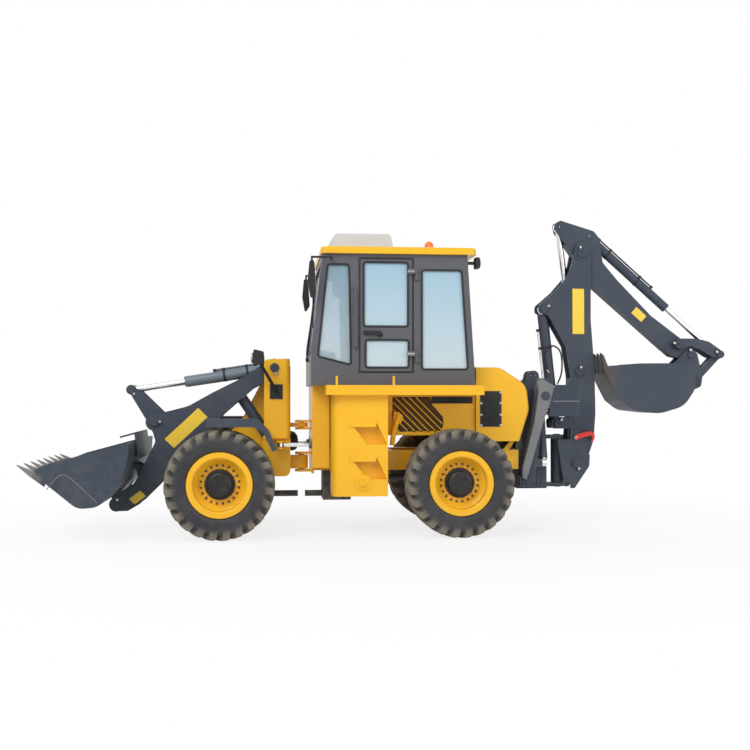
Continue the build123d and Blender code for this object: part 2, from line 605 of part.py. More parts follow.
def louvre():
    """Slanting slots of the left side panel, longest in the middle, all within its louvred field."""
    inner, outer = PANEL_Y
    field = prism([(1745, 1395), (1875, 1395), (2270, 1045), (2225, 1030), (1745, 1030)],
                  *left(inner - 2, outer + 2))
    slots = Part()
    for index in range(9):
        foot = 1560 + index * 74
        slot = prism([(foot, 1420), (foot + 30, 1420), (foot + 430, 1020), (foot + 400, 1020)],
                     *left(inner - 2, outer + 2))
        slots += slot
    return slots & field


def rear_frame():
    """Chassis rails, bulkhead with the hinge forks, side panels and braces of the rear frame."""
    bulk_x, bulk_z, bulk_y = BULKHEAD_X, BULKHEAD_Z, BULKHEAD_HALF_WIDTH
    body = box(bulk_x, (-bulk_y, bulk_y), bulk_z)
    body -= box((bulk_x[0] + 25, bulk_x[1] + 1), (-bulk_y + 25, bulk_y - 25),
                (bulk_z[0] - 1, bulk_z[1] - 25))
    ram_z = STEER_RAM_Z
    body -= both(box((bulk_x[0] - 1, bulk_x[0] + 26), left(180, bulk_y - 14), (ram_z - 55, ram_z + 60)))
    rails = box((bulk_x[0], RAIL_END_X), left(*RAIL_Y), RAIL_Z)
    rails += box((RAIL_END_X - 25, RAIL_END_X), left(0, RAIL_Y[1]), RAIL_Z)
    rails += box((1630, 2600), left(*PANEL_Y), (1000, DECK_Z[0]))
    rails += box((1630, 2600), left(PANEL_Y[0], PANEL_Y[1]), (1000, 1025))
    slots = louvre()
    inner_y = PANEL_Y[1] - 3
    rails -= slots
    neck = prism([(1745, 1120), (1815, 1120), (1835, 1175), (1800, 1240), (1745, 1240)],
                 *left(inner_y, inner_y + 62))
    rails += neck + bar_y(1790, 1180, 48, -inner_y - 80, -inner_y - 55)
    for x in (1632, 2560):
        rails += box((x, x + 38), left(RAIL_Y[0], PANEL_Y[1]), (RAIL_Z[1] - 5, DECK_Z[0]))
    rails += box((1150, 1600), left(RAIL_Y[1] - 5, TANK_Y[0] - SEAT_GAP), (700, 780))
    pin_x, pin_y = STEER_RAM_REAR
    low = ram_z - RAM_EYE_HALF_WIDTH - MOVING_GAP
    high = ram_z + RAM_EYE_HALF_WIDTH + MOVING_GAP
    rails += box((pin_x - 26, pin_x + 90), left(RAIL_Y[0], RAIL_Y[1]), (RAIL_Z[1] - 5, low))
    rails += box((pin_x - 26, pin_x + 90), left(RAIL_Y[0], RAIL_Y[1]), (high, high + 20))
    rails += box((pin_x + 60, pin_x + 90), left(RAIL_Y[0], RAIL_Y[1]), (low - 5, high + 5))
    rails += bar_z(pin_x, -pin_y, LINK_PIN_RADIUS, low - 5, high + 10)
    strut = [(2905, RAIL_Z[1] - 5), (2975, RAIL_Z[1] - 5), (3040, 930), (2990, 930)]
    rails += prism(strut, *left(*RAIL_Y))
    body += both(rails)
    for x in (1700, 2100):
        body += box((x, x + 60), (-RAIL_Y[0] - 5, RAIL_Y[0] + 5), (RAIL_Z[1] - 60, RAIL_Z[1]))
    for forks in HINGE_FORKS:
        for low, high in forks:
            body += box((STEER_X, bulk_x[0] + 10), (-HINGE_LUG_RADIUS, HINGE_LUG_RADIUS), (low, high))
            body += bar_z(STEER_X, 0, HINGE_LUG_RADIUS, low, high)
        body += bar_z(STEER_X, 0, STEER_PIN_RADIUS, forks[0][0], forks[1][1])
    low_forks = HINGE_FORKS[0]
    body += box((bulk_x[0], bulk_x[0] + 25), (-RAIL_Y[1], RAIL_Y[1]), (low_forks[0][0], bulk_z[0] + 5))
    return body


def side_tanks():
    """Tank on each side with two steps and a round filler boss."""
    tank = box(TANK_X, left(*TANK_Y), (TANK_BOTTOM_Z, DECK_Z[0]))
    uprights = tank.edges().filter_by(Axis.Z).filter_by_position(Axis.Y, -TANK_Y[1] - 1, -TANK_Y[1] + 1)
    tank = fillet(uprights.sort_by(Axis.X)[:1], TANK_CORNER)
    outer = -TANK_Y[1]
    for high in (1153, 811):
        step = prism([(1285, high - 20), (1540, high - 20), (1640, high - 230), (1440, high - 230)],
                     outer - 1, outer + 90)
        tank -= step
        tank += box((1270, 1540), (outer - 8, outer + 5), (high - 28, high + 12))
    tank += bar_y(1400, 550, 80, outer - 10, outer + 5)
    tank += bar_y(1400, 550, 42, outer - 26, outer - 5)
    tank += box((1392, 1408), (outer - 32, outer - 20), (512, 588))
    return both(tank)


def deck():
    """Platform that the cab stands on, with its turned-down lip."""
    plate = box(DECK_X, (-DECK_HALF_WIDTH, DECK_HALF_WIDTH), DECK_Z)
    plate += box((BULKHEAD_X[0], DECK_X[0]), (-BULKHEAD_HALF_WIDTH, BULKHEAD_HALF_WIDTH), DECK_Z)
    plate = fillet(plate.edges().filter_by(Axis.Z).filter_by_position(Axis.X, DECK_X[0] - 1, DECK_X[0] + 1)
                   .sort_by(Axis.Y)[0:1], 30)
    for x in (1137, 1699):
        plate += both(bar_z(x, -DECK_HALF_WIDTH + 20, 12, DECK_Z[0] + 20, DECK_Z[1] + 90))
    return plate


def hood():
    """Rounded engine cover, open below and towards the cab."""
    shell = prism(HOOD_OUTLINE, -HOOD_HALF_WIDTH, HOOD_HALF_WIDTH)
    rounds = shell.faces().filter_by(Axis.Y).edges().filter_by_position(Axis.X, 2700, 3200)
    shell = fillet(rounds.filter_by_position(Axis.Z, 960, 1710), 55)
    shell -= prism(HOOD_INSIDE, -HOOD_HALF_WIDTH + HOOD_SHEET, HOOD_HALF_WIDTH - HOOD_SHEET)
    # a field of level slots in each side
    for index in range(VENT_SLOTS):
        low = VENT_Z[0] + index * VENT_PITCH
        shell -= both(box(VENT_X, left(HOOD_HALF_WIDTH - HOOD_SHEET - 1, HOOD_HALF_WIDTH + 1),
                          (low, low + VENT_PITCH * 0.55)))
    return shell


def cab_frame():
    """Cab shell with its floor, window openings and doorways."""
    half, wall = CAB_HALF_WIDTH, CAB_WALL
    shell = prism(CAB_OUTLINE, -half, half)
    inside = [(892 + wall, CAB_FLOOR_Z + 40), (892 + wall, 1812), (1005 + wall, CAB_TOP_Z - 30),
              (2474 - wall, CAB_TOP_Z - 30),
              (2554 - wall, CAB_FLOOR_Z + 40)]
    shell -= prism(inside, -half + wall, half - wall)
    gap = MOVING_GAP
    doorway = [(DOOR_FRONT_X - gap, DOOR_BOTTOM_Z - gap), (DOOR_FRONT_X - gap, DOOR_TOP_Z + gap),
               (DOOR_HINGE_X - 30 + gap, DOOR_TOP_Z + gap), (DOOR_HINGE_X - 30 + gap, DOOR_BOTTOM_Z - gap)]
    for opening in (QUARTER_WINDOW, REAR_SIDE_WINDOW, doorway):
        shell -= both(prism(opening, -half - 1, -half + wall + 1))
    low, high, side = WINDSHIELD
    shell -= box((800, 1100), (-side, side), (low, high))
    low, high, side = REAR_WINDOW
    shell -= box((2400, 2600), (-side, side), (low, high))
    for z in (DOOR_BOTTOM_Z + 160, DOOR_TOP_Z - 160):
        knuckle = box((DOOR_HINGE_X - 12, DOOR_HINGE_X + 45), left(half, half + 12), (z - 60, z - 5))
        pin = bar_z(DOOR_HINGE_X, -half - 22, 7, z - 60, z + 60)
        knuckle += bar_z(DOOR_HINGE_X, -half - 22, 14, z - 60, z - 5) + pin
        shell += both(knuckle)
    return shell


def pane(outline, depth):
    """Flat pane in a side window, a little smaller than its opening."""
    middle_x = sum(p[0] for p in outline) / len(outline)
    middle_z = sum(p[1] for p in outline) / len(outline)
    gap = SEAT_GAP
    points = [(p[0] + (gap if p[0] < middle_x else -gap),
               p[1] + (gap if p[1] < middle_z else -gap)) for p in outline]
    return prism(points, -CAB_HALF_WIDTH + depth, -CAB_HALF_WIDTH + depth + GLASS_THICKNESS)


def sloped_pane(low_point, high_point, zone, inward):
    """Pane across the cab between two points of the sloping front or rear edge."""
    low, high, side = zone
    (x0, z0), (x1, z1) = low_point, high_point
    slope = (x1 - x0) / (z1 - z0)
    start, end = x0 + slope * (low + SEAT_GAP - z0) + inward, x0 + slope * (high - SEAT_GAP - z0) + inward
    return prism([(start, low + SEAT_GAP), (end, high - SEAT_GAP), (end + GLASS_THICKNESS, high - SEAT_GAP),
                  (start + GLASS_THICKNESS, low + SEAT_GAP)], -side + SEAT_GAP, side - SEAT_GAP)


def cab_glass():
    """Fixed panes: windscreen, rear window, quarter and rear side windows."""
    glass = both(pane(QUARTER_WINDOW, 15) + pane(REAR_SIDE_WINDOW, 15))
    glass += sloped_pane((892, 1812), (1005, CAB_TOP_Z), WINDSHIELD, 15)
    glass += sloped_pane((2554, CAB_FLOOR_Z), (2474, CAB_TOP_Z), REAR_WINDOW, -15 - GLASS_THICKNESS)
    return glass


def door():
    """Left door leaf with its window openings, hinge sleeves and handle."""
    outer = -CAB_HALF_WIDTH
    leaf = prism(DOOR_OUTLINE, outer, outer + DOOR_THICKNESS)
    for outline in DOOR_WINDOWS:
        leaf -= prism(outline, outer - 1, outer + DOOR_THICKNESS + 1)
    for z in (DOOR_BOTTOM_Z + 160, DOOR_TOP_Z - 160):
        sleeve = box((DOOR_HINGE_X - 90, DOOR_HINGE_X), (outer - 27, outer - 17), (z, z + 55))
        sleeve += box((DOOR_HINGE_X - 90, DOOR_HINGE_X - 35), (outer - 20, outer + 5), (z, z + 55))
        sleeve += bar_z(DOOR_HINGE_X, outer - 22, 14, z, z + 55)
        leaf += sleeve - bar_z(DOOR_HINGE_X, outer - 22, 7 + PIN_FIT, z - 1, z + 56)
    leaf += box((1430, 1590), (outer - 25, outer + 2), (2020, 2055))
    return leaf


def door_glass():
    """Two panes of the left door."""
    return pane(DOOR_WINDOWS[0], 15) + pane(DOOR_WINDOWS[1], 15)


def cab_roof():
    """Roof cap with rounded corners."""
    roof = box((988, 2565), (-ROOF_HALF_WIDTH, ROOF_HALF_WIDTH), (CAB_TOP_Z, CAB_TOP_Z + ROOF_THICKNESS))
    roof = fillet(roof.edges().filter_by(Axis.Z), 70)
    roof = fillet(roof.faces().sort_by(Axis.Z)[-1].edges(), 25)
    return roof


def roof_unit():
    """Air conditioner housing on the roof."""
    base = CAB_TOP_Z + ROOF_THICKNESS
    body = prism([(1090, base), (1090, base + 60, 20), (1154, base + 182, 40), (1728, base + 182, 40),
                  (1754, base + 60, 20),
                  (1754, base)], -400, 400)
    return body


def cab_fittings():
    """Mirrors, beacon and rear lamps."""
    base = CAB_TOP_Z + ROOF_THICKNESS
    beacon = bar_z(2146, -300, 52, base, base + 30) + bar_z(2146, -300, 42, base + 29, base + 85)
    beacon += Pos(2146, -300, base + 85) * Sphere(42)
    mirror_left = prism([(870, 2740, 15), (915, 2740, 15), (935, 2430, 15), (885, 2350, 15),
                         (852, 2540, 15)], -900, -830)
    bracket = box((905, 1100), (-850, -835), (2770, 2790))
    bracket += box((1085, 1100), (-850, -CAB_HALF_WIDTH), (2770, 2790))
    bracket += box((885, 905), (-850, -835), (2725, 2790))
    lamp = box((2560, 2600), (-740, -620), (2700, 2810)) + box((2480, 2562), (-700, -660), (2740, 2770))
    return beacon + both(mirror_left + bracket + lamp)


def cab_interior():
    """Seat stand, console, steering column and wheel inside the cab."""
    floor = CAB_FLOOR_Z + CAB_FLOOR_SHEET
    stand = box((1750, 2050), (-160, 160), (floor, floor + SEAT_PAN_Z))
    stand += box((1670, 2140), (-225, 225), (floor + SEAT_PAN_Z - 20, floor + SEAT_PAN_Z))
    column = prism([(1180, floor), (1330, floor), (1420, floor + 620), (1360, floor + 640)], -70, 70)
    tilt = (0.5, 0, 0.87)
    wheel = Plane(origin=(1400, 0, floor + 690), z_dir=tilt) * Torus(190, 14)
    hub = Plane(origin=(1375, 0, floor + 640), z_dir=tilt) * Pos(0, 0, 25) * Cylinder(30, 70)
    spokes = Plane(origin=(1400, 0, floor + 690), z_dir=tilt) * Box(20, 370, 12)
    console = prism([(950, floor), (1180, floor), (1150, floor + 300, 40), (985, floor + 330, 40)], -500,
                    500)
    side_box = both(prism([(1690, floor), (2200, floor), (2200, floor + 420, 40), (1760, floor + 470, 60)],
                          *left(290, 430)))
    levers = Part()
    for y in (-360, 360):
        lever = Pos(0, 0, 70) * Cylinder(9, 140) + Pos(0, 0, 150) * Sphere(24)
        levers += Pos(1800, y, floor + 430) * Rot(0, 12, 0) * lever
    return stand + column + wheel + hub + spokes + console + (side_box + levers)


def seat():
    """Cushion and backrest of the driver's seat."""
    pan = CAB_FLOOR_Z + CAB_FLOOR_SHEET + SEAT_PAN_Z
    cushion = box((1650, 2120), (-250, 250), (pan, pan + 115))
    cushion = fillet(cushion.edges().filter_by(Axis.X, reverse=True).group_by(Axis.Z)[-1], 40)
    back = prism([(2075, pan + 115 + SEAT_GAP), (2165, pan + 115 + SEAT_GAP), (2250, pan + 640, 30),
                  (2175, pan + 650, 30)], -235, 235)
    return cushion + back


def backhoe_frame():
    """Frame behind the engine: base box, mast with the king pins and the stabilisers' lugs."""
    half_base = LEG_PIVOT[0] - LEG_THICKNESS / 2 - PAD_GAP
    base = box((RAIL_END_X + SEAT_GAP, MAST_X[1]), (-half_base, half_base), (430, BASE_TOP_Z))
    base += box(MAST_X, (-MAST_HALF_WIDTH, MAST_HALF_WIDTH), (BASE_TOP_Z, MAST_TOP_Z))
    base += both(extrude(make_face(Polyline((MAST_X[0], -half_base, BASE_TOP_Z - 5),
                                            (MAST_X[0], -MAST_HALF_WIDTH + 5, BASE_TOP_Z - 5),
                                            (MAST_X[0], -MAST_HALF_WIDTH + 5, BASE_TOP_Z + 260),
                                            close=True)), amount=20, dir=(1, 0, 0)))
    y, z = LEG_PIVOT
    low, high = LEG_PIVOT_X
    half = Part()
    for x in (low - MOVING_GAP - 20, high + MOVING_GAP):
        half += box((x, x + 20), left(half_base - 5, y),
                    (z - LEG_FOOT_RADIUS, z + LEG_FOOT_RADIUS)) + bar_x(-y, z, LEG_FOOT_RADIUS, x, x + 20)
    half += bar_x(-y, z, LEG_PIN_RADIUS, low - MOVING_GAP - 30, high + MOVING_GAP + 30)
    top_y, top_z = LEG_RAM_TOP
    low, high = LEG_RAM_X - LEG_RAM[0] - MOVING_GAP, LEG_RAM_X + LEG_RAM[0] + MOVING_GAP
    half += box((low - 16, high + 16), left(MAST_HALF_WIDTH - 10, MAST_HALF_WIDTH + 8),
                (top_z - 44, top_z + 44))
    for x in (low - 16, high):
        half += box((x, x + 16), left(MAST_HALF_WIDTH - 5, top_y), (top_z - 44, top_z + 44))
        half += bar_x(-top_y, top_z, 44, x, x + 16)
    half += bar_x(-top_y, top_z, LEG_PIN_RADIUS, low - 20, high + 20)
    body = base + both(half)
    for z_low, z_high in KING_LUGS:
        lug = prism([(MAST_X[1] - 5, z_low), (SWING_X, z_low), (SWING_X, z_high), (MAST_X[1] - 5, z_high)],
                    -KING_LUG_RADIUS, KING_LUG_RADIUS)
        body += lug + bar_z(SWING_X, 0, KING_LUG_RADIUS, z_low, z_high)
    top = KING_LUGS[1][1]
    body += prism([(MAST_X[1] - 5, top - 5), (MAST_X[1] + 60, top - 5), (MAST_X[1] - 5, top + 60)],
                  -KING_LUG_RADIUS, KING_LUG_RADIUS)
    for z_low, z_high in ((KING_LUGS[0][0] - 8, KING_EYE[0] + 110),
                          (KING_EYE[1] - 110, KING_LUGS[1][1] + 8)):
        body += bar_z(SWING_X, 0, SWING_PIN_RADIUS, z_low, z_high)
    return body


def lifting_eyes():
    """Lifting plates on top of the backhoe frame."""
    x, z = LIFTING_EYE
    base = MAST_TOP_Z + SEAT_GAP
    inner, outer = MAST_HALF_WIDTH - 22, MAST_HALF_WIDTH - 2
    plate = prism([(x - 90, base), (x + 85, base), (x + 52, z + 52, 50), (x - 52, z + 52, 50)],
                  *left(inner, outer))
    return both(plate - bar_y(x, z, LIFTING_BORE_RADIUS, *left(inner - 5, outer + 5)))


def swing_post():
    """King post casting that turns on the frame and carries the boom's foot."""
    fx, fz = BOOM_FOOT
    mx, mz = BOOM_RAM_BASE
    clear_x = SWING_X + 118
    outline = [
        (SWING_X - 25, 905), (SWING_X + 5, 700), (SWING_X + 40, KING_EYE[0] + 2),
        (clear_x, KING_EYE[0] + 2), (clear_x, fz - 264),
        (fx - 15, fz - 264, 20), (fx + 148, fz - 27, 60), (fx + 153, fz + 83, 60), (fx + 93, fz + 283, 60),
        (mx + 130, mz + 65, 60),
        (mx, mz + 70, 30), (mx - 60, mz + 40, 40), (mx - 52, mz - 56, 20), (clear_x, mz - 56),
        (clear_x, KING_EYE[1] - 1),
        (SWING_X - 25, KING_EYE[1] - 1),
    ]
    post = both(prism(outline, *left(*POST_PLATE)))
    web = [(SWING_X + 45, KING_EYE[0] + 8), (SWING_X + 72, KING_EYE[0] + 8),
           (SWING_X + 72, KING_EYE[1] - 8), (SWING_X + 45, KING_EYE[1] - 8)]
    post += prism(web, -POST_PLATE[0] - 5, POST_PLATE[0] + 5)
    post += bar_z(SWING_X, 0, KING_TUBE_RADIUS, *KING_EYE)
    post -= bar_z(SWING_X, 0, SWING_PIN_RADIUS + PIN_FIT, KING_EYE[0] - 1, KING_EYE[0] + 112)
    post -= bar_z(SWING_X, 0, SWING_PIN_RADIUS + PIN_FIT, KING_EYE[1] - 112, KING_EYE[1] + 1)
    post += bar_y(fx, fz, HOE_PIN_RADIUS, -POST_PLATE[1] - 10, POST_PLATE[1] + 10)
    post += bar_y(mx, mz, HOE_PIN_RADIUS, -POST_PLATE[1] - 10, POST_PLATE[1] + 10)
    return post


def boom():
    """Boom of two side plates and webs: nose for its ram, fork for the stick."""
    fx, fz = BOOM_FOOT
    sx, sz = STICK_PIVOT
    nx, nz = BOOM_NOSE_PIN
    outline = [
        (fx + 95, fz - 60, 60), (fx + 206, fz + 253), (fx + 227, fz + 546), (fx + 218, fz + 1024),
        (fx + 179, fz + 1548),
        (sx + 105, sz + 30, 90), (sx + 40, sz + 118, 80), (sx - 60, sz + 118, 60), (sx - 107, sz - 120, 60),
        (sx - 165, sz - 265, 200),
        (sx - 296, sz - 416), (nx - 60, nz + 40, 40), (nx - 62, nz - 40, 40), (nx + 40, nz - 62, 100),
        (fx - 99, fz + 1266),
        (fx - 45, fz + 943, 300), (fx - 46, fz + 738, 200), (fx - 93, fz + 60, 80), (fx - 90, fz - 92, 85),
        (fx + 60, fz - 92, 60),
    ]
    plates = both(prism(outline, *left(*BOOM_PLATE)))
    inner = BOOM_PLATE[0] + 5
    rear_web = [(fx + 200, fz + 240), (fx + 206, fz + 253), (fx + 227, fz + 546), (fx + 218, fz + 1024),
                (fx + 179, fz + 1548),
                (fx + 179, fz + 1770), (fx + 157, fz + 1770), (fx + 157, fz + 1548), (fx + 196, fz + 1024),
                (fx + 205, fz + 546),
                (fx + 184, fz + 253), (fx + 178, fz + 240)]
    front_web = [(fx - 60, fz + 500), (fx - 46, fz + 738), (fx - 45, fz + 920), (fx - 23, fz + 920),
                 (fx - 24, fz + 738), (fx - 38, fz + 500)]
    plates += prism(rear_web, -inner, inner) + prism(front_web, -inner, inner)
    plates -= bar_y(fx, fz, HOE_PIN_RADIUS + PIN_FIT, -200, 200)
    plates += bar_y(*STICK_PIVOT, HOE_PIN_RADIUS + 6, -BOOM_PLATE[1] - 12, BOOM_PLATE[1] + 12)
    plates += bar_y(*STICK_RAM_BASE, HOE_PIN_RADIUS, -BOOM_PLATE[1] - 12, BOOM_PLATE[1] + 12)
    plates += both(bar_y(nx, nz, 42, *left(BOOM_RAM[1] + MOVING_GAP, BOOM_PLATE[1])))
    # bosses round the pins: place, radius
    for place, radius in ((STICK_PIVOT, 82), (STICK_RAM_BASE, 58), (BOOM_NOSE_PIN, 54)):
        plates += both(bar_y(*place, radius, *left(BOOM_PLATE[1] - 2, BOOM_PLATE[1] + 8)))
    doubler = [(fx - 20, fz + 350), (fx + 150, fz + 350), (fx + 160, fz + 640), (fx + 120, fz + 900),
               (fx + 40, fz + 900), (fx - 5, fz + 640)]
    plates += both(prism(doubler, *left(BOOM_PLATE[1] - 2, BOOM_PLATE[1] + 4)))
    return plates


def stick():
    """Box-section stick: forked tail, base of the bucket ram and the dipper end."""
    sx, sz = STICK_PIVOT
    dx, dz = DIPPER_PIN
    tx, tz = STICK_TAIL_PIN
    outline = [
        (tx - 48, tz + 40, 30), (tx + 10, tz + 72, 30), (sx + 147, sz + 249, 40), (sx + 214, sz + 168, 40),
        (sx + 246, sz - 93, 60),
        (sx + 401, sz - 276), (dx - 448, dz + 431), (dx - 85, dz + 161, 40), (dx + 52, dz + 45, 50),
        (dx + 50, dz - 50, 50),
        (dx - 55, dz - 55, 50), (dx - 220, dz - 14, 60), (dx - 1113, dz + 757), (sx - 10, sz - 125, 80),
        (sx - 120, sz + 33, 60),
        (tx - 30, tz - 50, 30),
    ]
    body = prism(outline, -STICK_HALF_WIDTH, STICK_HALF_WIDTH)
    tip = box((dx - 290, dx + 200), left(STICK_TIP_HALF_WIDTH, STICK_HALF_WIDTH + 5), (dz - 200, dz + 75))
    tip += bar_y(dx, dz, STICK_TIP_REACH, *left(STICK_TIP_HALF_WIDTH, STICK_HALF_WIDTH + 5))
    body -= both(tip)
    slot = STICK_RAM[1] + MOVING_GAP
    body -= bar_y(tx, tz, STICK_FORK_DEPTH, -slot, slot)
    cx, cz = CURL_RAM_BASE
    room = CURL_RAM[0] + MOVING_GAP
    body -= prism([(cx - 60, cz + 120), (cx - 60, cz - 45), (cx - 20, cz - 72), (cx + 60, cz - 140),
                   (cx + 300, cz - 350),
                   (cx + 300, cz + 200)], -room, room)
    body -= bar_y(sx, sz, HOE_PIN_RADIUS + 6 + PIN_FIT, -200, 200)
    body -= bar_y(dx, dz, HOE_PIN_RADIUS + PIN_FIT, -200, 200)
    body += bar_y(cx, cz, HOE_PIN_RADIUS, -STICK_HALF_WIDTH, STICK_HALF_WIDTH)
    body += bar_y(*LEVER_PIN, HOE_PIN_RADIUS, -LEVER_PLATE[1] - 8, LEVER_PLATE[1] + 8)
    return body


def tipping_levers():
    """Pair of curved levers from the stick to the joint of bucket ram and yoke."""
    vx, vz = LEVER_PIN
    jx, jz = LEVER_JOINT
    outline = [(vx - 57, vz + 15, 30), (vx + 5, vz + 67, 30), (vx + 215, vz + 67, 150),
               (vx + 351, vz + 31, 100),
               (jx + 50, jz + 15, 30), (jx + 25, jz - 45, 30), (jx - 90, jz - 30, 60),
               (vx + 248, vz - 48, 100), (vx + 135, vz - 12, 60),
               (vx + 20, vz - 52, 30), (vx - 45, vz - 35, 30)]
    levers = both(prism(outline, *left(*LEVER_PLATE)))
    levers -= bar_y(vx, vz, HOE_PIN_RADIUS + PIN_FIT, -200, 200)
    joint = bar_y(jx, jz, HOE_PIN_RADIUS, *left(YOKE_PLATE[0], LEVER_PLATE[1] + 8))
    return levers + both(joint)


def bucket_yoke():
    """Yoke from the lever joint down to the bucket, open at the bucket's ears."""
    jx, jz = LEVER_JOINT
    wx, wz = YOKE_PIN
    angle = atan2(jz - wz, jx - wx)
    nx, nz = -sin(angle) * 38, cos(angle) * 38
    low, high = YOKE_PLATE
    plate = prism([(wx + nx, wz + nz), (jx + nx, jz + nz), (jx - nx, jz - nz), (wx - nx, wz - nz)],
                  *left(low, high))
    plate += bar_y(jx, jz, 50, *left(low, high)) + bar_y(wx, wz, 50, *left(low, high))
    plate -= bar_y(jx, jz, HOE_PIN_RADIUS + PIN_FIT, -200, 200)
    middle = (wx * 0.72 + jx * 0.28, wz * 0.72 + jz * 0.28)
    return both(plate) + bar_y(*middle, 30, -low - 5, low + 5)


def backhoe_bucket():
    """Digging bucket with cheeks, teeth and its pair of ears."""
    dx, dz = DIPPER_PIN
    half = HOE_BUCKET_HALF_WIDTH
    # side view: cutting edge, round the bottom to the back, and the rim
    outside = [(dx - 1020, dz - 190), (dx - 860, dz - 500, 60), (dx - 722, dz - 605, 200),
               (dx - 424, dz - 640, 300),
               (dx - 150, dz - 560, 250), (dx - 30, dz - 380, 120), (dx - 20, dz - 170)]
    rim_line = [(dx - 109, dz - 97), (dx - 640, dz - 100), (dx - 865, dz - 117), (dx - 966, dz - 138)]
    s = HOE_SHEET
    inside = [(dx - 1020 + s, dz - 190 + s * 0.4), (dx - 860 + s, dz - 500 + s * 0.6, 60),
              (dx - 722 + s * 0.5, dz - 605 + s, 190),
              (dx - 424, dz - 640 + s, 290), (dx - 150 - s * 0.6, dz - 560 + s * 0.8, 240),
              (dx - 30 - s, dz - 380, 110),
              (dx - 20 - s, dz - 170), (dx - 109, dz - 50), (dx - 640, dz - 50), (dx - 1010, dz - 50)]
    shell = prism(outside + rim_line, -half, half) - prism(inside, -half + 16, half - 16)
    tooth = [(dx - 1066, dz + 10), (dx - 1035, dz - 15), (dx - 970, dz - 180), (dx - 1022, dz - 205)]
    pitch = (2 * half - 60) / (HOE_TEETH - 1)
    for index in range(HOE_TEETH):
        middle = -half + 30 + index * pitch
        shell += prism(tooth, middle - 25, middle + 25)
    wx, wz = YOKE_PIN
    ear = [(dx - 70, dz + 30, 30), (dx + 10, dz + 75, 50), (dx + 75, dz + 10, 50), (wx + 75, wz + 30, 50),
           (wx + 60, wz - 70, 40),
           (dx - 60, dz - 420, 30), (dx - 230, dz - 130, 60)]
    shell += both(prism(ear, *left(*BUCKET_EAR)))
    plate = [(dx - 180, dz - 118), (dx - 20, dz - 170), (dx - 30, dz - 380), (dx - 50, dz - 380),
             (dx - 40, dz - 184), (dx - 180, dz - 134)]
    shell += prism(plate, -half, half)
    shell += bar_y(dx, dz, HOE_PIN_RADIUS, -BUCKET_EAR[1] - 4, BUCKET_EAR[1] + 4)
    shell += both(bar_y(wx, wz, 44, *left(YOKE_PLATE[1] + MOVING_GAP, BUCKET_EAR[1] + 4)))
    return shell


def stabiliser():
    """Left stabiliser: leaning leg on its pivot, ram lug and serrated foot pad at the top."""
    y, z = LEG_PIVOT
    half = LEG_THICKNESS / 2
    low, high = LEG_PIVOT_X
    leg = prism([(low, z), (high, z), (high, z + 87), (3403, 1560, 30), (3390, 1591, 20), (3290, 1591, 30),
                 (low, z + 87)],
                *left(y - half, y + half))
    leg += bar_x(-y, z, LEG_FOOT_RADIUS, low, high)
    leg -= bar_x(-y, z, LEG_PIN_RADIUS + PIN_FIT, low - 5, high + 5)
    lug_y, lug_z = LEG_LUG
    face_x = LEG_RAM_X - LEG_EYE_HALF_WIDTH - MOVING_GAP
    leg += box((high - 30, face_x), left(lug_y - 5, y + half), (lug_z - 44, lug_z + 44))
    leg += bar_x(-lug_y - 2, lug_z, 44, high - 30, face_x)
    face = y + half
    # foot pad on the leg's outer face, its lower edge cut into teeth
    start, end = (3470, 1182), (3722, 1412)
    steps = 2 * PAD_TEETH
    edge = []
    for index in range(steps + 1):
        share = index / steps
        depth = PAD_TOOTH_DEPTH if index % 2 else 0
        edge.append((start[0] + (end[0] - start[0]) * share - depth * 0.67,
                     start[1] + (end[1] - start[1]) * share + depth * 0.74))
    pad = prism([(3380, 1290), (3450, 1190)] + edge + [(3747, 1519, 30), (3380, 1519)],
                *left(face + PAD_GAP, face + PAD_GAP + PAD_THICKNESS))
    boss = box((3300, 3402), left(face - 2, face + PAD_GAP + PAD_THICKNESS), (1330, 1480))
    boss += bar_y(3352, 1405, 46, *left(face + PAD_GAP, face + PAD_GAP + PAD_THICKNESS + 14))
    return leg + pad + boss


def leg_ram():
    """Left stabiliser ram in its cross section."""
    shortest = SHORTEST["leg"]
    top_y, top_z = LEG_RAM_TOP
    lug_y, lug_z = LEG_LUG
    lengths = ram_lengths(shortest, LEG_PIN_RADIUS)
    return ram((LEG_RAM_X, -top_y, top_z), (LEG_RAM_X, -lug_y, lug_z), (1, 0, 0), LEG_RAM, *lengths,
               LEG_PIN_RADIUS,
               LEG_EYE_HALF_WIDTH)


def side_ram(base, eye, plane, sizes, name, pin_radius):
    """Ram in the side view at one Y plane."""
    lengths = ram_lengths(SHORTEST[name], pin_radius)
    return ram((base[0], plane, base[1]), (eye[0], plane, eye[1]), (0, 1, 0), sizes, *lengths, pin_radius)


def steer_ram():
    """Left steering ram from the rear frame to the front frame."""
    base_x, base_y = STEER_RAM_REAR
    eye_x, eye_y = STEER_RAM_FRONT
    lengths = ram_lengths(SHORTEST["steer"], LINK_PIN_RADIUS)
    return ram((base_x, -base_y, STEER_RAM_Z), (eye_x, -eye_y, STEER_RAM_Z), (0, 0, 1), STEER_RAM, *lengths,
               LINK_PIN_RADIUS)


def mirrored(shape):
    """The right-hand copy of a left-hand piece."""
    return mirror(shape, about=Plane.XZ)


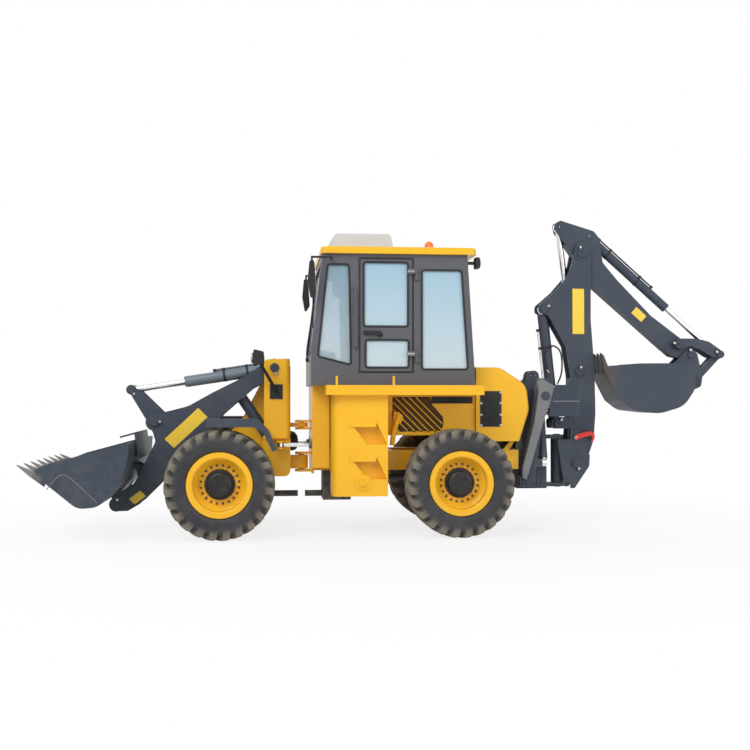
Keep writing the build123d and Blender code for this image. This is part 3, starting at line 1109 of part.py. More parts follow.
def build():
    """All pieces by name, still measured from the front axle."""
    pieces = {}
    for place, x in (("front", 0), ("rear", WHEELBASE)):
        for hand, side in (("left", -1), ("right", 1)):
            pieces[f"tyre_{place}_{hand}"] = tyre(side, x)
            pieces[f"rim_{place}_{hand}"] = rim(side, x)
    pieces["front_axle"] = front_axle()
    pieces["rear_driveline"] = rear_driveline()
    pieces["front_frame"] = front_frame()
    pieces["front_fenders"] = front_fenders()
    pieces["headlamps"] = headlamps()
    pieces["loader_arms"] = loader_arms()
    pieces["rockers"] = rockers()
    pieces["bucket_links"] = bucket_links()
    pieces["loader_bucket"] = loader_bucket()
    pieces["rear_frame"] = rear_frame()
    pieces["side_tanks"] = side_tanks()
    pieces["deck"] = deck()
    pieces["hood"] = hood()
    pieces["cab_frame"] = cab_frame()
    pieces["cab_glass"] = cab_glass()
    pieces["cab_roof"] = cab_roof()
    pieces["roof_unit"] = roof_unit()
    pieces["cab_fittings"] = cab_fittings()
    pieces["cab_interior"] = cab_interior()
    pieces["seat"] = seat()
    pieces["door_left"] = door()
    pieces["door_right"] = mirrored(pieces["door_left"])
    pieces["door_glass_left"] = door_glass()
    pieces["door_glass_right"] = mirrored(pieces["door_glass_left"])
    pieces["backhoe_frame"] = backhoe_frame()
    pieces["lifting_eyes"] = lifting_eyes()
    pieces["swing_post"] = swing_post()
    pieces["boom"] = boom()
    pieces["stick"] = stick()
    pieces["tipping_levers"] = tipping_levers()
    pieces["bucket_yoke"] = bucket_yoke()
    pieces["backhoe_bucket"] = backhoe_bucket()
    pieces["stabiliser_left"] = stabiliser()
    pieces["stabiliser_right"] = mirrored(pieces["stabiliser_left"])
    # name, base, eye, Y plane, sizes, pin radius, in pairs or single
    table = (
        ("lift", LIFT_BASE, LIFT_EYE, -RAM_PLANE, LIFT_RAM, PIVOT_PIN_RADIUS, True),
        ("tilt", ARM_PIVOT, ROCKER_TOP_PIN, -RAM_PLANE, TILT_RAM, PIVOT_PIN_RADIUS, True),
        ("boom", BOOM_RAM_BASE, BOOM_NOSE_PIN, 0, BOOM_RAM, HOE_PIN_RADIUS, False),
        ("stick", STICK_RAM_BASE, STICK_TAIL_PIN, 0, STICK_RAM, HOE_PIN_RADIUS, False),
        ("curl", CURL_RAM_BASE, LEVER_JOINT, 0, CURL_RAM, HOE_PIN_RADIUS, False),
    )
    for name, base, eye, plane, sizes, pin_radius, pair in table:
        barrel, rod = side_ram(base, eye, plane, sizes, name, pin_radius)
        pieces[f"{name}_barrels" if pair else f"{name}_barrel"] = both(barrel) if pair else barrel
        pieces[f"{name}_rods" if pair else f"{name}_rod"] = both(rod) if pair else rod
    for name, (barrel, rod) in (("leg", leg_ram()), ("steer", steer_ram())):
        pieces[f"{name}_barrel_left"], pieces[f"{name}_rod_left"] = barrel, rod
        pieces[f"{name}_barrel_right"], pieces[f"{name}_rod_right"] = mirrored(barrel), mirrored(rod)
    return pieces


def main():
    """Write one STEP file for each piece."""
    os.makedirs("parts", exist_ok=True)
    for name, shape in build().items():
        placed = Pos(-CENTRE_X, 0, 0) * shape
        export_step(placed, f"parts/{name}.step")


if __name__ == "__main__":
    main()
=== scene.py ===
"""Dresses the articulated backhoe loader: finishes, treaded tyres, seals, pins, pipes, trim and lamps.

New pieces are surfaces of two parameters worked out with numpy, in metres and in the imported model's frame:
+X to the machine's rear, +Y to its right, +Z up, origin on the ground under its middle. Places read from the
machine's drawing are given in millimetres from the front axle and moved into that frame by drawn().
"""

from __future__ import annotations

import json
import logging
import math
from dataclasses import dataclass, replace
from enum import Enum
from typing import Sequence

import bpy
import numpy as np
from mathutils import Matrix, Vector


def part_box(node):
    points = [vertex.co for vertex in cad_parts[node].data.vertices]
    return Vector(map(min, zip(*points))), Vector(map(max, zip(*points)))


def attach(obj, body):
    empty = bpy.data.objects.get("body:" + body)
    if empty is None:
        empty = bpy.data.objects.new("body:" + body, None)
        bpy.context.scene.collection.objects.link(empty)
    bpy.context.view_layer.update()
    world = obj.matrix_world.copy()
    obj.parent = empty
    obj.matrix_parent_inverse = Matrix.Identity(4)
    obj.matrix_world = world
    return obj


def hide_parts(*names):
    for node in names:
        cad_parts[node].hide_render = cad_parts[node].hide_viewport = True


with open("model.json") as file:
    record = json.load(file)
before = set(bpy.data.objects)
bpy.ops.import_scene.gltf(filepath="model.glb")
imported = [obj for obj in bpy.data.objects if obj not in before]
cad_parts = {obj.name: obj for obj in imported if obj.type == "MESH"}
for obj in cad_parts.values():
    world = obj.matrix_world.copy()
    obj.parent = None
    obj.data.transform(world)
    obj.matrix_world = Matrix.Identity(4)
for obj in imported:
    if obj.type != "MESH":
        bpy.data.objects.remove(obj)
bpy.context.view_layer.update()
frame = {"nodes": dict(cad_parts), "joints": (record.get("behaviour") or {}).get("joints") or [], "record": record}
LOG = logging.getLogger("backhoe_loader")
# Places of the turning joints; the record gives none for the sliding ones
JOINT_AT: dict[str, tuple[float, ...]] = {
    joint["name"]: tuple(joint["pos_m"]) for joint in frame["joints"] if "pos_m" in joint}
AXLE_X: float = JOINT_AT["wheel_front_left"][0]
SHARP_ANGLE: float = math.radians(32)
# Places in space and in a plane, linear colours, and sockets of node trees
Point = tuple[float, float, float]
Flat = tuple[float, float]
Colour = Point
Socket = bpy.types.NodeSocket


class Side(Enum):
    """The machine's sides: left is at negative Y."""

    LEFT = -1
    RIGHT = 1

    @property
    def hand(self) -> str:
        """The side's name as bodies and nodes spell it."""
        return self.name.lower()


class Axis(Enum):
    """Axis that a turned body is carried round."""

    X = 0
    Y = 1
    Z = 2


def drawn(x: float, y: float, z: float) -> np.ndarray:
    """A place of the drawing, in millimetres from the front axle on the ground, in the frame's metres."""
    return np.array([AXLE_X + x / 1000, y / 1000, z / 1000])


class Graph:
    """Node tree of a material or of the world, with the kinds of node that the looks share."""

    def __init__(self, tree: bpy.types.NodeTree) -> None:
        """Hold the tree's nodes and links."""
        self.nodes, self.links = tree.nodes, tree.links

    def add(self, kind: str) -> bpy.types.Node:
        """New node of a kind."""
        return self.nodes.new(kind)

    def link(self, start: Socket, end: Socket) -> None:
        """Join an output to an input."""
        self.links.new(start, end)

    def noise(self, place: Socket, scale: float, detail: float) -> Socket:
        """Value of a noise with this scale on the given coordinates."""
        noise = self.add("ShaderNodeTexNoise")
        noise.inputs["Scale"].default_value = scale
        noise.inputs["Detail"].default_value = detail
        self.link(place, noise.inputs["Vector"])
        return noise.outputs["Fac"]

    def ramp(self, value: Socket, low: float, high: float, bottom: float, top: float) -> Socket:
        """A value spread from low..high onto bottom..top."""
        ramp = self.add("ShaderNodeMapRange")
        for name, number in (("From Min", low), ("From Max", high), ("To Min", bottom), ("To Max", top)):
            ramp.inputs[name].default_value = number
        self.link(value, ramp.inputs["Value"])
        return ramp.outputs["Result"]

    def pair(self, kind: str, first: Socket, second: Socket) -> bpy.types.Node:
        """Arithmetic node of a kind on two values."""
        node = self.add("ShaderNodeMath")
        node.operation = kind
        self.link(first, node.inputs[0])
        self.link(second, node.inputs[1])
        return node

    def times(self, first: Socket, second: Socket) -> Socket:
        """Product of two values, held within 0..1."""
        product = self.pair("MULTIPLY", first, second)
        product.use_clamp = True
        return product.outputs[0]

    def mix(self, factor: Socket, low: Colour | Socket, high: Colour) -> Socket:
        """Mix of two colours by a factor."""
        mix = self.add("ShaderNodeMix")
        mix.data_type = "RGBA"
        self.link(factor, mix.inputs["Factor"])
        if isinstance(low, tuple):
            mix.inputs["A"].default_value = (*low, 1.0)
        else:
            self.link(low, mix.inputs["A"])
        mix.inputs["B"].default_value = (*high, 1.0)
        return mix.outputs["Result"]

    def seen_rays(self) -> Socket:
        """Value that is 1 for rays from the camera, mirrors and clear glass."""
        path = self.add("ShaderNodeLightPath")
        value = path.outputs["Is Camera Ray"]
        for name in ("Is Glossy Ray", "Is Transmission Ray"):
            value = self.pair("MAXIMUM", value, path.outputs[name]).outputs[0]
        return value


def new_material(name: str) -> tuple[bpy.types.Material, Graph]:
    """New node material of this name, and its node tree."""
    material = bpy.data.materials.new(name)
    material.use_nodes = True
    return material, Graph(material.node_tree)


@dataclass(frozen=True)
class Finish:
    """A painted, moulded or plated surface with slow stains, fine grain and settled dust.

    Colours are linear. Scales are in cycles per metre, depths in metres. Where worn_from and worn_to are
    given, the worn colour sets in between those two places along X, as on a bucket's cutting edge. Where
    attribute names a mesh attribute, its value mixes in the dust colour.
    """

    name: str
    colour: Colour
    roughness: float = 0.45
    metallic: float = 0.0
    coat: float = 0.0
    shine: float = 0.3
    stain: Colour = (0.1, 0.09, 0.08)
    stain_amount: float = 0.15
    stain_scale: float = 2.5
    dust: Colour = (0.36, 0.32, 0.26)
    dust_amount: float = 0.1
    dust_top: float = 1.2
    grain_scale: float = 220.0
    grain_depth: float = 0.0004
    worn: Colour = (0.2, 0.18, 0.16)
    worn_from: float = 0.0
    worn_to: float = 0.0
    attribute: str = ""

    def make(self) -> bpy.types.Material:
        """Build the node material.

        Returns:
            The material, with colour mixed from base, stain, wear and dust by noise on Object coordinates.
        """
        material, graph = new_material(self.name)
        shader = graph.nodes["Principled BSDF"]
        place = graph.add("ShaderNodeTexCoord").outputs["Object"]
        slow = graph.noise(place, self.stain_scale, 5.0)
        patch = graph.noise(place, self.stain_scale * 5.0, 8.0)
        fine = graph.noise(place, self.grain_scale, 3.0)
        parts = graph.add("ShaderNodeSeparateXYZ")
        graph.link(place, parts.inputs[0])
        stained = graph.ramp(slow, 0.42, 0.72, 0.0, self.stain_amount)
        colour = graph.mix(stained, self.colour, self.stain)
        if self.worn_from != self.worn_to:
            along = graph.ramp(parts.outputs["X"], self.worn_from, self.worn_to, 0.0, 1.4)
            rubbed = graph.times(along, graph.ramp(patch, 0.3, 0.6, 0.35, 1.0))
            colour = graph.mix(rubbed, colour, self.worn)
        if self.attribute:
            given = graph.add("ShaderNodeAttribute")
            given.attribute_name = self.attribute
            patchy = graph.ramp(patch, 0.2, 0.65, 0.6, 1.0)
            caked = graph.times(given.outputs["Fac"], patchy)
            colour = graph.mix(caked, colour, self.dust)
        # dust lies in patches and gets thinner up to dust_top
        low = graph.ramp(parts.outputs["Z"], 0.0, self.dust_top, 1.0, 0.2)
        speck = graph.ramp(patch, 0.38, 0.66, 0.0, self.dust_amount)
        graph.link(graph.mix(graph.times(speck, low), colour, self.dust), shader.inputs["Base Color"])
        smoothest, roughest = max(self.roughness - 0.08, 0.03), min(self.roughness + 0.14, 1.0)
        rough = graph.ramp(patch, 0.0, 1.0, smoothest, roughest)
        graph.link(rough, shader.inputs["Roughness"])
        bump = graph.add("ShaderNodeBump")
        bump.inputs["Strength"].default_value = 0.35
        bump.inputs["Distance"].default_value = self.grain_depth
        graph.link(fine, bump.inputs["Height"])
        graph.link(bump.outputs["Normal"], shader.inputs["Normal"])
        shader.inputs["Metallic"].default_value = self.metallic
        shader.inputs["Specular IOR Level"].default_value = self.shine
        shader.inputs["Coat Weight"].default_value = self.coat
        shader.inputs["Coat Roughness"].default_value = 0.12
        return material


@dataclass(frozen=True)
class Pane:
    """Window, lens or mirror face: its colour runs from low to high up it as a painted sky reflection, and ahead
    of clear_x it is clearer.
    """

    name: str
    low: Colour
    high: Colour
    low_z: float = 1.6
    high_z: float = 2.8
    roughness: float = 0.04
    alpha: float = 0.8
    clear_x: float | None = None
    clear_alpha: float = 0.42

    def make(self) -> bpy.types.Material:
        """Build the material: smooth, part clear glass with faint dirt in its roughness."""
        material, graph = new_material(self.name)
        shader = graph.nodes["Principled BSDF"]
        shader.inputs["Alpha"].default_value = self.alpha
        shader.inputs["IOR"].default_value = 1.45
        place = graph.add("ShaderNodeTexCoord").outputs["Object"]
        parts = graph.add("ShaderNodeSeparateXYZ")
        graph.link(place, parts.inputs[0])
        # painted sky reflection: the colour runs from low to high between the two heights
        height = graph.ramp(parts.outputs["Z"], self.low_z, self.high_z, 0.0, 1.0)
        if self.clear_x is not None:
            edge = self.clear_x + 0.02
            seen = graph.ramp(parts.outputs["X"], self.clear_x, edge, self.clear_alpha, self.alpha)
            graph.link(seen, shader.inputs["Alpha"])
        graph.link(graph.mix(height, self.low, self.high), shader.inputs["Base Color"])
        dirt = graph.noise(place, 6.0, 4.0)
        graph.link(graph.ramp(dirt, 0.0, 1.0, self.roughness, self.roughness + 0.1),
                   shader.inputs["Roughness"])
        return material


class Finishes:
    """Every finish of the machine, made once."""

    def __init__(self) -> None:
        """Make the materials."""
        slate = Finish("frame_slate", (0.04, 0.053, 0.078), 0.5, coat=0.03, stain=(0.07, 0.08, 0.097),
                       stain_amount=0.4, dust_amount=0.1)
        bucket_x = JOINT_AT["bucket_dump"][0]
        hoe_x = JOINT_AT["backhoe_curl"][0]
        recipes = (
            Finish("machine_yellow", (0.93, 0.5, 0.014), 0.36, coat=0.2, stain=(0.82, 0.4, 0.012),
                   stain_amount=0.3, dust_amount=0.07),
            slate,
            replace(slate, name="loader_bucket_slate", worn=(0.21, 0.2, 0.19), worn_from=bucket_x - 0.56,
                    worn_to=bucket_x - 0.7),
            replace(slate, name="hoe_bucket_slate", worn=(0.085, 0.07, 0.06), worn_from=hoe_x - 0.84,
                    worn_to=hoe_x - 1.04),
            Finish("leg_grey", (0.17, 0.18, 0.195), 0.45, stain=(0.26, 0.26, 0.26), stain_amount=0.5,
                   dust_amount=0.2),
            Finish("cab_grey", (0.098, 0.1, 0.118), 0.4, coat=0.12, stain=(0.12, 0.12, 0.138),
                   stain_amount=0.3, dust_amount=0.05),
            Finish("ram_paint", (0.16, 0.195, 0.235), 0.38, coat=0.2, stain=(0.15, 0.165, 0.19),
                   stain_amount=0.4, dust_amount=0.12),
            Finish("casting_grey", (0.05, 0.052, 0.056), 0.6, stain=(0.11, 0.1, 0.085), stain_amount=0.5,
                   dust_amount=0.4,
                   grain_scale=90.0, grain_depth=0.0012),
            Finish("rod_chrome", (0.75, 0.76, 0.78), 0.16, metallic=1.0, stain=(0.5, 0.5, 0.5),
                   stain_amount=0.2, dust_amount=0.02,
                   grain_depth=0.00005),
            Finish("tyre_rubber", (0.035, 0.037, 0.044), 0.72, stain=(0.06, 0.062, 0.07), stain_amount=0.6,
                   dust_amount=0.12,
                   dust=(0.235, 0.205, 0.158), dust_top=1.6, grain_scale=120.0, grain_depth=0.0012,
                   attribute="caked"),
            Finish("hub_black", (0.012, 0.012, 0.013), 0.42, coat=0.1, stain=(0.03, 0.028, 0.026),
                   stain_amount=0.3, dust_amount=0.06),
            Finish("lamp_black", (0.016, 0.016, 0.017), 0.5, stain=(0.045, 0.045, 0.045), stain_amount=0.3,
                   dust_amount=0.08),
            Finish("unit_white", (0.6, 0.64, 0.67), 0.5, stain=(0.52, 0.55, 0.57), stain_amount=0.25,
                   dust_amount=0.0),
            Finish("trim_dark", (0.025, 0.026, 0.028), 0.6, stain=(0.05, 0.05, 0.05), stain_amount=0.3,
                   dust_amount=0.03),
            Finish("seat_vinyl", (0.03, 0.03, 0.032), 0.55, stain=(0.07, 0.065, 0.06), stain_amount=0.4,
                   dust_amount=0.02,
                   grain_scale=400.0, grain_depth=0.0006),
            Finish("bolt_zinc", (0.5, 0.49, 0.47), 0.33, metallic=0.9, stain=(0.3, 0.27, 0.22),
                   stain_amount=0.4, dust_amount=0.06),
            Finish("label_yellow", (0.9, 0.62, 0.03), 0.3, coat=0.4, stain=(0.8, 0.55, 0.05),
                   stain_amount=0.25, dust_amount=0.05),
            Finish("beacon_orange", (0.9, 0.2, 0.01), 0.2, coat=0.5, stain=(0.8, 0.25, 0.03),
                   stain_amount=0.2, dust_amount=0.02),
            Finish("hook_red", (0.72, 0.03, 0.015), 0.36, coat=0.2, stain=(0.5, 0.03, 0.02),
                   stain_amount=0.3, dust_amount=0.06),
            # painted shade: dark brown standing for the shaded depth behind the louvre slots
            Finish("slot_brown", (0.05, 0.028, 0.006), 0.6, stain=(0.12, 0.065, 0.012), stain_amount=0.5,
                   dust_amount=0.05),
            Finish("brass", (0.62, 0.4, 0.1), 0.3, metallic=0.8, stain=(0.3, 0.18, 0.05), stain_amount=0.5,
                   dust_amount=0.05),
            Finish("hose_black", (0.013, 0.013, 0.014), 0.45, stain=(0.04, 0.04, 0.04), stain_amount=0.3,
                   dust_amount=0.1,
                   grain_scale=500.0, grain_depth=0.0003),
        )
        # painted sky reflection: the windows' pale blue, lighter low down, and the mirrors' grey, lighter higher
        # up, stand for what they reflect
        panes = (
            Pane("window_glass", (0.68, 0.81, 0.87), (0.4, 0.61, 0.75), clear_x=AXLE_X + 1.33),
            Pane("lamp_glass", (0.8, 0.83, 0.85), (0.85, 0.88, 0.9), alpha=0.75),
            Pane("mirror_silver", (0.5, 0.55, 0.56), (0.62, 0.66, 0.68), alpha=1.0),
        )
        self.by_name: dict[str, bpy.types.Material] = {
            recipe.name: recipe.make() for recipe in (*recipes, *panes)}

    def __getitem__(self, name: str) -> bpy.types.Material:
        """The material of a name."""
        return self.by_name[name]


# The record's material slots and the finish of their solids
SLOT_FINISH: dict[str, str] = {
    "paint": "machine_yellow", "slate": "frame_slate", "cab_grey": "cab_grey", "ram_grey": "ram_paint",
    "axle_grey": "casting_grey",
    "chrome": "rod_chrome", "tyre": "tyre_rubber", "seat": "seat_vinyl", "lamp_black": "lamp_black",
    "glass": "window_glass",
    "white": "unit_white", "interior": "trim_dark",
}
# Solids whose finish differs from their slot's
NODE_FINISH: dict[str, str] = {
    "loader_bucket": "loader_bucket_slate", "backhoe_bucket": "hoe_bucket_slate",
    "lift_barrels": "frame_slate",
}


@dataclass
class Shape:
    """Closed mesh before it becomes an object."""

    points: np.ndarray
    faces: list[list[int]]

    def __add__(self, other: Shape) -> Shape:
        """Both shapes as one."""
        count = len(self.points)
        shifted = [[i + count for i in face] for face in other.faces]
        return Shape(np.concatenate([self.points, other.points]), self.faces + shifted)

    def moved(self, offset: Sequence[float]) -> Shape:
        """The shape carried by an offset."""
        return Shape(self.points + np.asarray(offset), self.faces)

    def mirrored(self) -> Shape:
        """The shape on the machine's other side, still facing outwards."""
        return Shape(self.points * np.array([1.0, -1.0, 1.0]), [f[::-1] for f in self.faces])

    def both(self) -> Shape:
        """The shape on both sides of the machine."""
        return self + self.mirrored()

    def repeated(self, places: np.ndarray) -> Shape:
        """The shape at each of the places."""
        count = len(self.points)
        points = (self.points[None, :, :] + np.asarray(places)[:, None, :]).reshape(-1, 3)
        faces = [[i + k * count for i in face] for k in range(len(places)) for face in self.faces]
        return Shape(points, faces)

    def outward(self) -> Shape:
        """The shape facing outwards: its signed volume, summed over fans of triangles, is made positive."""
        volume = 0.0
        for face in self.faces:
            a = self.points[face[0]]
            ring = self.points[face[1:]]
            volume += float(np.einsum("j,ij->", a, np.cross(ring[:-1], ring[1:])))
        return self if volume > 0 else Shape(self.points, [f[::-1] for f in self.faces])


def joined(shapes: Sequence[Shape]) -> Shape:
    """All the shapes as one."""
    return sum(shapes[1:], shapes[0])


def new_piece(name: str, shape: Shape, material: bpy.types.Material, body: str) -> bpy.types.Object:
    """Put a shape into the scene, shaded smooth with its sharp edges kept by angle, and fasten it to a body.

    Args:
        name: The piece's name.
        shape: Its closed mesh.
        material: Its finish.
        body: The body that it rides on.

    Returns:
        The new object, at the origin and unturned.
    """
    mesh = bpy.data.meshes.new(name)
    mesh.from_pydata(shape.points.astype(float).tolist(), [], shape.faces)
    mesh.validate()
    mesh.materials.append(material)
    mesh.shade_smooth()
    mesh.set_sharp_from_angle(angle=SHARP_ANGLE)
    piece = bpy.data.objects.new(name, mesh)
    bpy.context.scene.collection.objects.link(piece)
    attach(piece, body)
    LOG.info("piece %s: %d faces on %s", name, len(mesh.polygons), body)
    return piece


def grid_faces(rows: int, columns: int, wrap_rows: bool, wrap_columns: bool) -> list[list[int]]:
    """Quads of a rows by columns grid of points, closed on itself where asked."""
    i = np.arange(rows if wrap_rows else rows - 1)
    j = np.arange(columns if wrap_columns else columns - 1)
    a, b = (grid.ravel() for grid in np.meshgrid(i, j, indexing="ij"))
    c, d = (a + 1) % rows, (b + 1) % columns
    return np.stack([a * columns + b, c * columns + b, c * columns + d, a * columns + d], axis=1).tolist()


def capped(rings: np.ndarray) -> Shape:
    """Closed body of (n, m, 3) rings: quads between the rings, a flat cap on the first and on the last."""
    rows, columns = rings.shape[:2]
    faces = grid_faces(rows, columns, False, True)
    faces.append(list(range(columns)))
    faces.append(list(range((rows - 1) * columns, rows * columns))[::-1])
    return Shape(rings.reshape(-1, 3), faces).outward()


def turned(profile: Sequence[Flat], centre: Sequence[float], axis: Axis, steps: int = 32) -> Shape:
    """Turned body: each (along, radius) of the profile is a ring round the axis through centre."""
    along, radius = (np.array(column)[:, None] for column in zip(*profile))
    turn = np.linspace(0, 2 * np.pi, steps, endpoint=False)[None, :]
    rings = np.zeros((len(profile), steps, 3))
    rings[..., axis.value] = along
    rings[..., (axis.value + 1) % 3] = np.maximum(radius, 1e-4) * np.cos(turn)
    rings[..., (axis.value + 2) % 3] = np.maximum(radius, 1e-4) * np.sin(turn)
    return capped(rings + np.asarray(centre))


def tube(path: np.ndarray, radius: float | np.ndarray, steps: int = 14) -> Shape:
    """Round bar along a path: a circle square to the path's direction at each of its points."""
    path = np.asarray(path, dtype=float)
    ahead = np.gradient(path, axis=0)
    ahead /= np.linalg.norm(ahead, axis=1, keepdims=True)
    guide = np.eye(3)[np.argmin(np.abs(ahead).max(axis=0))]
    first = np.cross(ahead, guide)
    first /= np.linalg.norm(first, axis=1, keepdims=True)
    second = np.cross(ahead, first)
    turn = np.linspace(0, 2 * np.pi, steps, endpoint=False)[None, :, None]
    size = np.broadcast_to(np.asarray(radius, dtype=float), (len(path),))[:, None, None]
    circle = np.cos(turn) * first[:, None, :] + np.sin(turn) * second[:, None, :]
    return capped(path[:, None, :] + size * circle)


def eased(points: Sequence[Sequence[float]], count: int = 40) -> np.ndarray:
    """Smooth path: parabolas with the inner points as corners, which meet half-way between those corners."""
    knots = np.asarray(points, dtype=float)
    corners = knots[1:-1]
    middles = (corners[:-1] + corners[1:]) / 2
    starts, ends = np.concatenate([knots[:1], middles]), np.concatenate([middles, knots[-1:]])
    place = np.linspace(0, len(corners), count)
    span = np.minimum(place.astype(int), len(corners) - 1)
    t = (place - span)[:, None]
    return (1 - t) ** 2 * starts[span] + 2 * t * (1 - t) * corners[span] + t * t * ends[span]


def rounded(corners: Sequence[Flat], radius: float, steps: int = 6) -> np.ndarray:
    """Outline with eased corners: at each corner a parabola between points radius before and after it."""
    here = np.asarray(corners, dtype=float)
    before, after = np.roll(here, 1, axis=0), np.roll(here, -1, axis=0)
    start = here + radius * (before - here) / np.linalg.norm(before - here, axis=1, keepdims=True)
    end = here + radius * (after - here) / np.linalg.norm(after - here, axis=1, keepdims=True)
    t = np.linspace(0, 1, steps)[None, :, None]
    eased_corners = (1 - t) ** 2 * start[:, None] + 2 * t * (1 - t) * here[:, None] + t * t * end[:, None]
    return eased_corners.reshape(-1, 2)


def inset(outline: np.ndarray, depth: float) -> np.ndarray:
    """Outline moved inwards by depth along the bisectors of its edges' normals."""
    after = np.roll(outline, -1, axis=0)
    edge = after - outline
    area = np.sum(outline[:, 0] * after[:, 1] - outline[:, 1] * after[:, 0])
    normal = np.stack([-edge[:, 1], edge[:, 0]], axis=1) * np.sign(area)
    normal /= np.maximum(np.linalg.norm(normal, axis=1, keepdims=True), 1e-9)
    last = np.roll(normal, 1, axis=0)
    bisector = (normal + last) / np.maximum(1 + np.sum(normal * last, axis=1, keepdims=True), 0.3)
    return outline + depth * bisector


@dataclass(frozen=True)
class Sheet:
    """Flat working plane: origin, two directions along it and the one that it faces."""

    origin: Point
    across: Point = (1.0, 0.0, 0.0)
    up: Point = (0.0, 0.0, 1.0)
    out: Point = (0.0, -1.0, 0.0)

    def place(self, flat: np.ndarray, height: float | np.ndarray) -> np.ndarray:
        """Points of the plane's (across, up) pairs raised by height."""
        across, up, out = (np.array(v) for v in (self.across, self.up, self.out))
        height = np.broadcast_to(np.asarray(height, dtype=float), flat.shape[:-1])[..., None]
        return np.array(self.origin) + flat[..., :1] * across + flat[..., 1:2] * up + height * out

    def plate(self, outline: np.ndarray, thickness: float, bevel: float = 0.002, low: float = 0.0) -> Shape:
        """Plate with this outline and bevelled edges, from low to low plus thickness above the plane."""
        layers = ((0.0, low), (0.0, low + thickness - bevel), (bevel, low + thickness))
        return capped(np.stack([self.place(inset(outline, depth), height) for depth, height in layers]))

    def seal(self, outline: np.ndarray, width: float, height: float, low: float = 0.0) -> Shape:
        """Ring along an outline: a low arched section, width wide inwards and height high, carried round."""
        shoulder, top = low + 0.6 * height, low + height
        section = ((0.0, low), (0.0, shoulder), (0.25 * width, top), (0.75 * width, top), (width, shoulder),
                   (width, low))
        rings = np.stack([self.place(inset(outline, depth), raised) for depth, raised in section])
        return Shape(rings.reshape(-1, 3), grid_faces(len(section), len(outline), True, True)).outward()


LEFT_FACE = Sheet((AXLE_X, 0.0, 0.0))


def side_sheet(y: float) -> Sheet:
    """Left-facing plane at a distance y (millimetres) from the middle, measured as the drawing is."""
    return replace(LEFT_FACE, origin=(AXLE_X, -y / 1000, 0.0))


def outline_mm(corners: Sequence[Flat], radius: float = 20.0, steps: int = 6) -> np.ndarray:
    """Eased outline of corners given in millimetres."""
    return rounded([(x / 1000, z / 1000) for x, z in corners], radius / 1000, steps)


def bolt(size: float = 0.012, height: float = 0.009, axis: Axis = Axis.Y, towards: int = -1) -> Shape:
    """Hexagon bolt head on its washer, standing on the plane square to the axis and facing towards."""
    washer = turned([(0.0, size * 1.45), (towards * 0.0025, size * 1.4)], (0, 0, 0), axis, 16)
    head = turned([(0.0, size), (towards * height * 0.8, size), (towards * height, size * 0.82)], (0, 0, 0),
                  axis, 6)
    return washer + head


@dataclass
class Tyre:
    """Tyre with two staggered rows of slanted lugs that wrap its shoulders; it stands for the plainer solid.

    The section is a line from the middle of the tread over the shoulder and down the sidewall to the bead,
    given once for the bare carcass and once for the top of a lug. Round the wheel the surface runs from one
    to the other.
    """

    node: str
    body: str
    # lugs in each row; shares of their pitch that a lug and its flank take; pitches that it leans over 0.2 m
    lug_count: int = 24
    lug_share: float = 0.56
    flank: float = 0.055
    slant: float = 1.15
    # rows of points in each pitch, and steps in each span of the section
    per_lug: int = 15
    per_span: int = 4
    # (distance from the tyre's middle, radius) from the middle of the tread down to the bead
    carcass: tuple[Flat, ...] = (
        (0.0, 0.4995), (0.1, 0.4985), (0.15, 0.493), (0.18, 0.474), (0.193, 0.44), (0.1955, 0.395),
        (0.19, 0.357),
        (0.178, 0.336), (0.163, 0.326), (0.15, 0.3), (0.15, 0.272))
    lug_top: tuple[Flat, ...] = (
        (0.0, 0.5372), (0.1, 0.5372), (0.152, 0.536), (0.186, 0.521), (0.1995, 0.474), (0.1995, 0.425),
        (0.191, 0.359),
        (0.178, 0.336), (0.163, 0.326), (0.15, 0.3), (0.15, 0.272))

    def _half(self, line: Sequence[Flat]) -> np.ndarray:
        """The line's places at even steps of its parameter, per_span steps to each of its spans."""
        line = np.array(line)
        steps = np.linspace(0, len(line) - 1, (len(line) - 1) * self.per_span + 1)
        return np.stack([np.interp(steps, np.arange(len(line)), line[:, k]) for k in (0, 1)], axis=1)

    def build(self, finishes: Finishes) -> None:
        """Make the tyre as a closed grid: rows round the wheel, columns across its section."""
        low, high = (np.array(c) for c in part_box(self.node))
        centre = (low + high) / 2
        base, top = self._half(self.carcass), self._half(self.lug_top)
        base, top = (np.concatenate([half[:0:-1] * (-1, 1), half]) for half in (base, top))
        rows = self.lug_count * self.per_lug
        angle = np.arange(rows)[:, None] * 2 * np.pi / rows
        y = base[None, :, 0]
        right = (y > 0) * 1.0
        # place within the lug's pitch: rows lean outwards and the right row lies half a pitch on
        lean = self.slant * np.abs(y) / 0.2
        phase = (angle * self.lug_count / (2 * np.pi) + lean + 0.5 * right) % 1.0
        mask = np.clip((self.lug_share / 2 - np.abs(phase - 0.5)) / self.flank + 0.5, 0, 1)
        mask = mask * np.clip((np.abs(y) - 0.006) / 0.012, 0, 1)
        across = base[None, :, 0] + mask * (top - base)[None, :, 0]
        radius = base[None, :, 1] + mask * (top - base)[None, :, 1]
        points = np.stack([radius * np.sin(angle), across, radius * np.cos(angle)], axis=-1)
        shape = Shape(points.reshape(-1, 3) + centre,
                      grid_faces(rows, points.shape[1], True, True)).outward()
        piece = new_piece(f"treaded_{self.node}", shape, finishes["tyre_rubber"], self.body)
        # mud cakes on the lugs, between them only at the shoulder, and in the groove at the rim
        shoulder = np.clip((base[None, :, 1] - 0.4) / 0.06, 0, 1)
        rim_line = np.exp(-((base[None, :, 1] - 0.338) / 0.006) ** 2)
        caked = np.clip(shoulder * (0.06 + 0.94 * mask) + 0.1 * rim_line, 0, 1)
        held = piece.data.attributes.new("caked", "FLOAT", "POINT")
        held.data.foreach_set("value", np.broadcast_to(caked, points.shape[:2]).ravel().astype(np.float32))
        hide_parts(self.node)


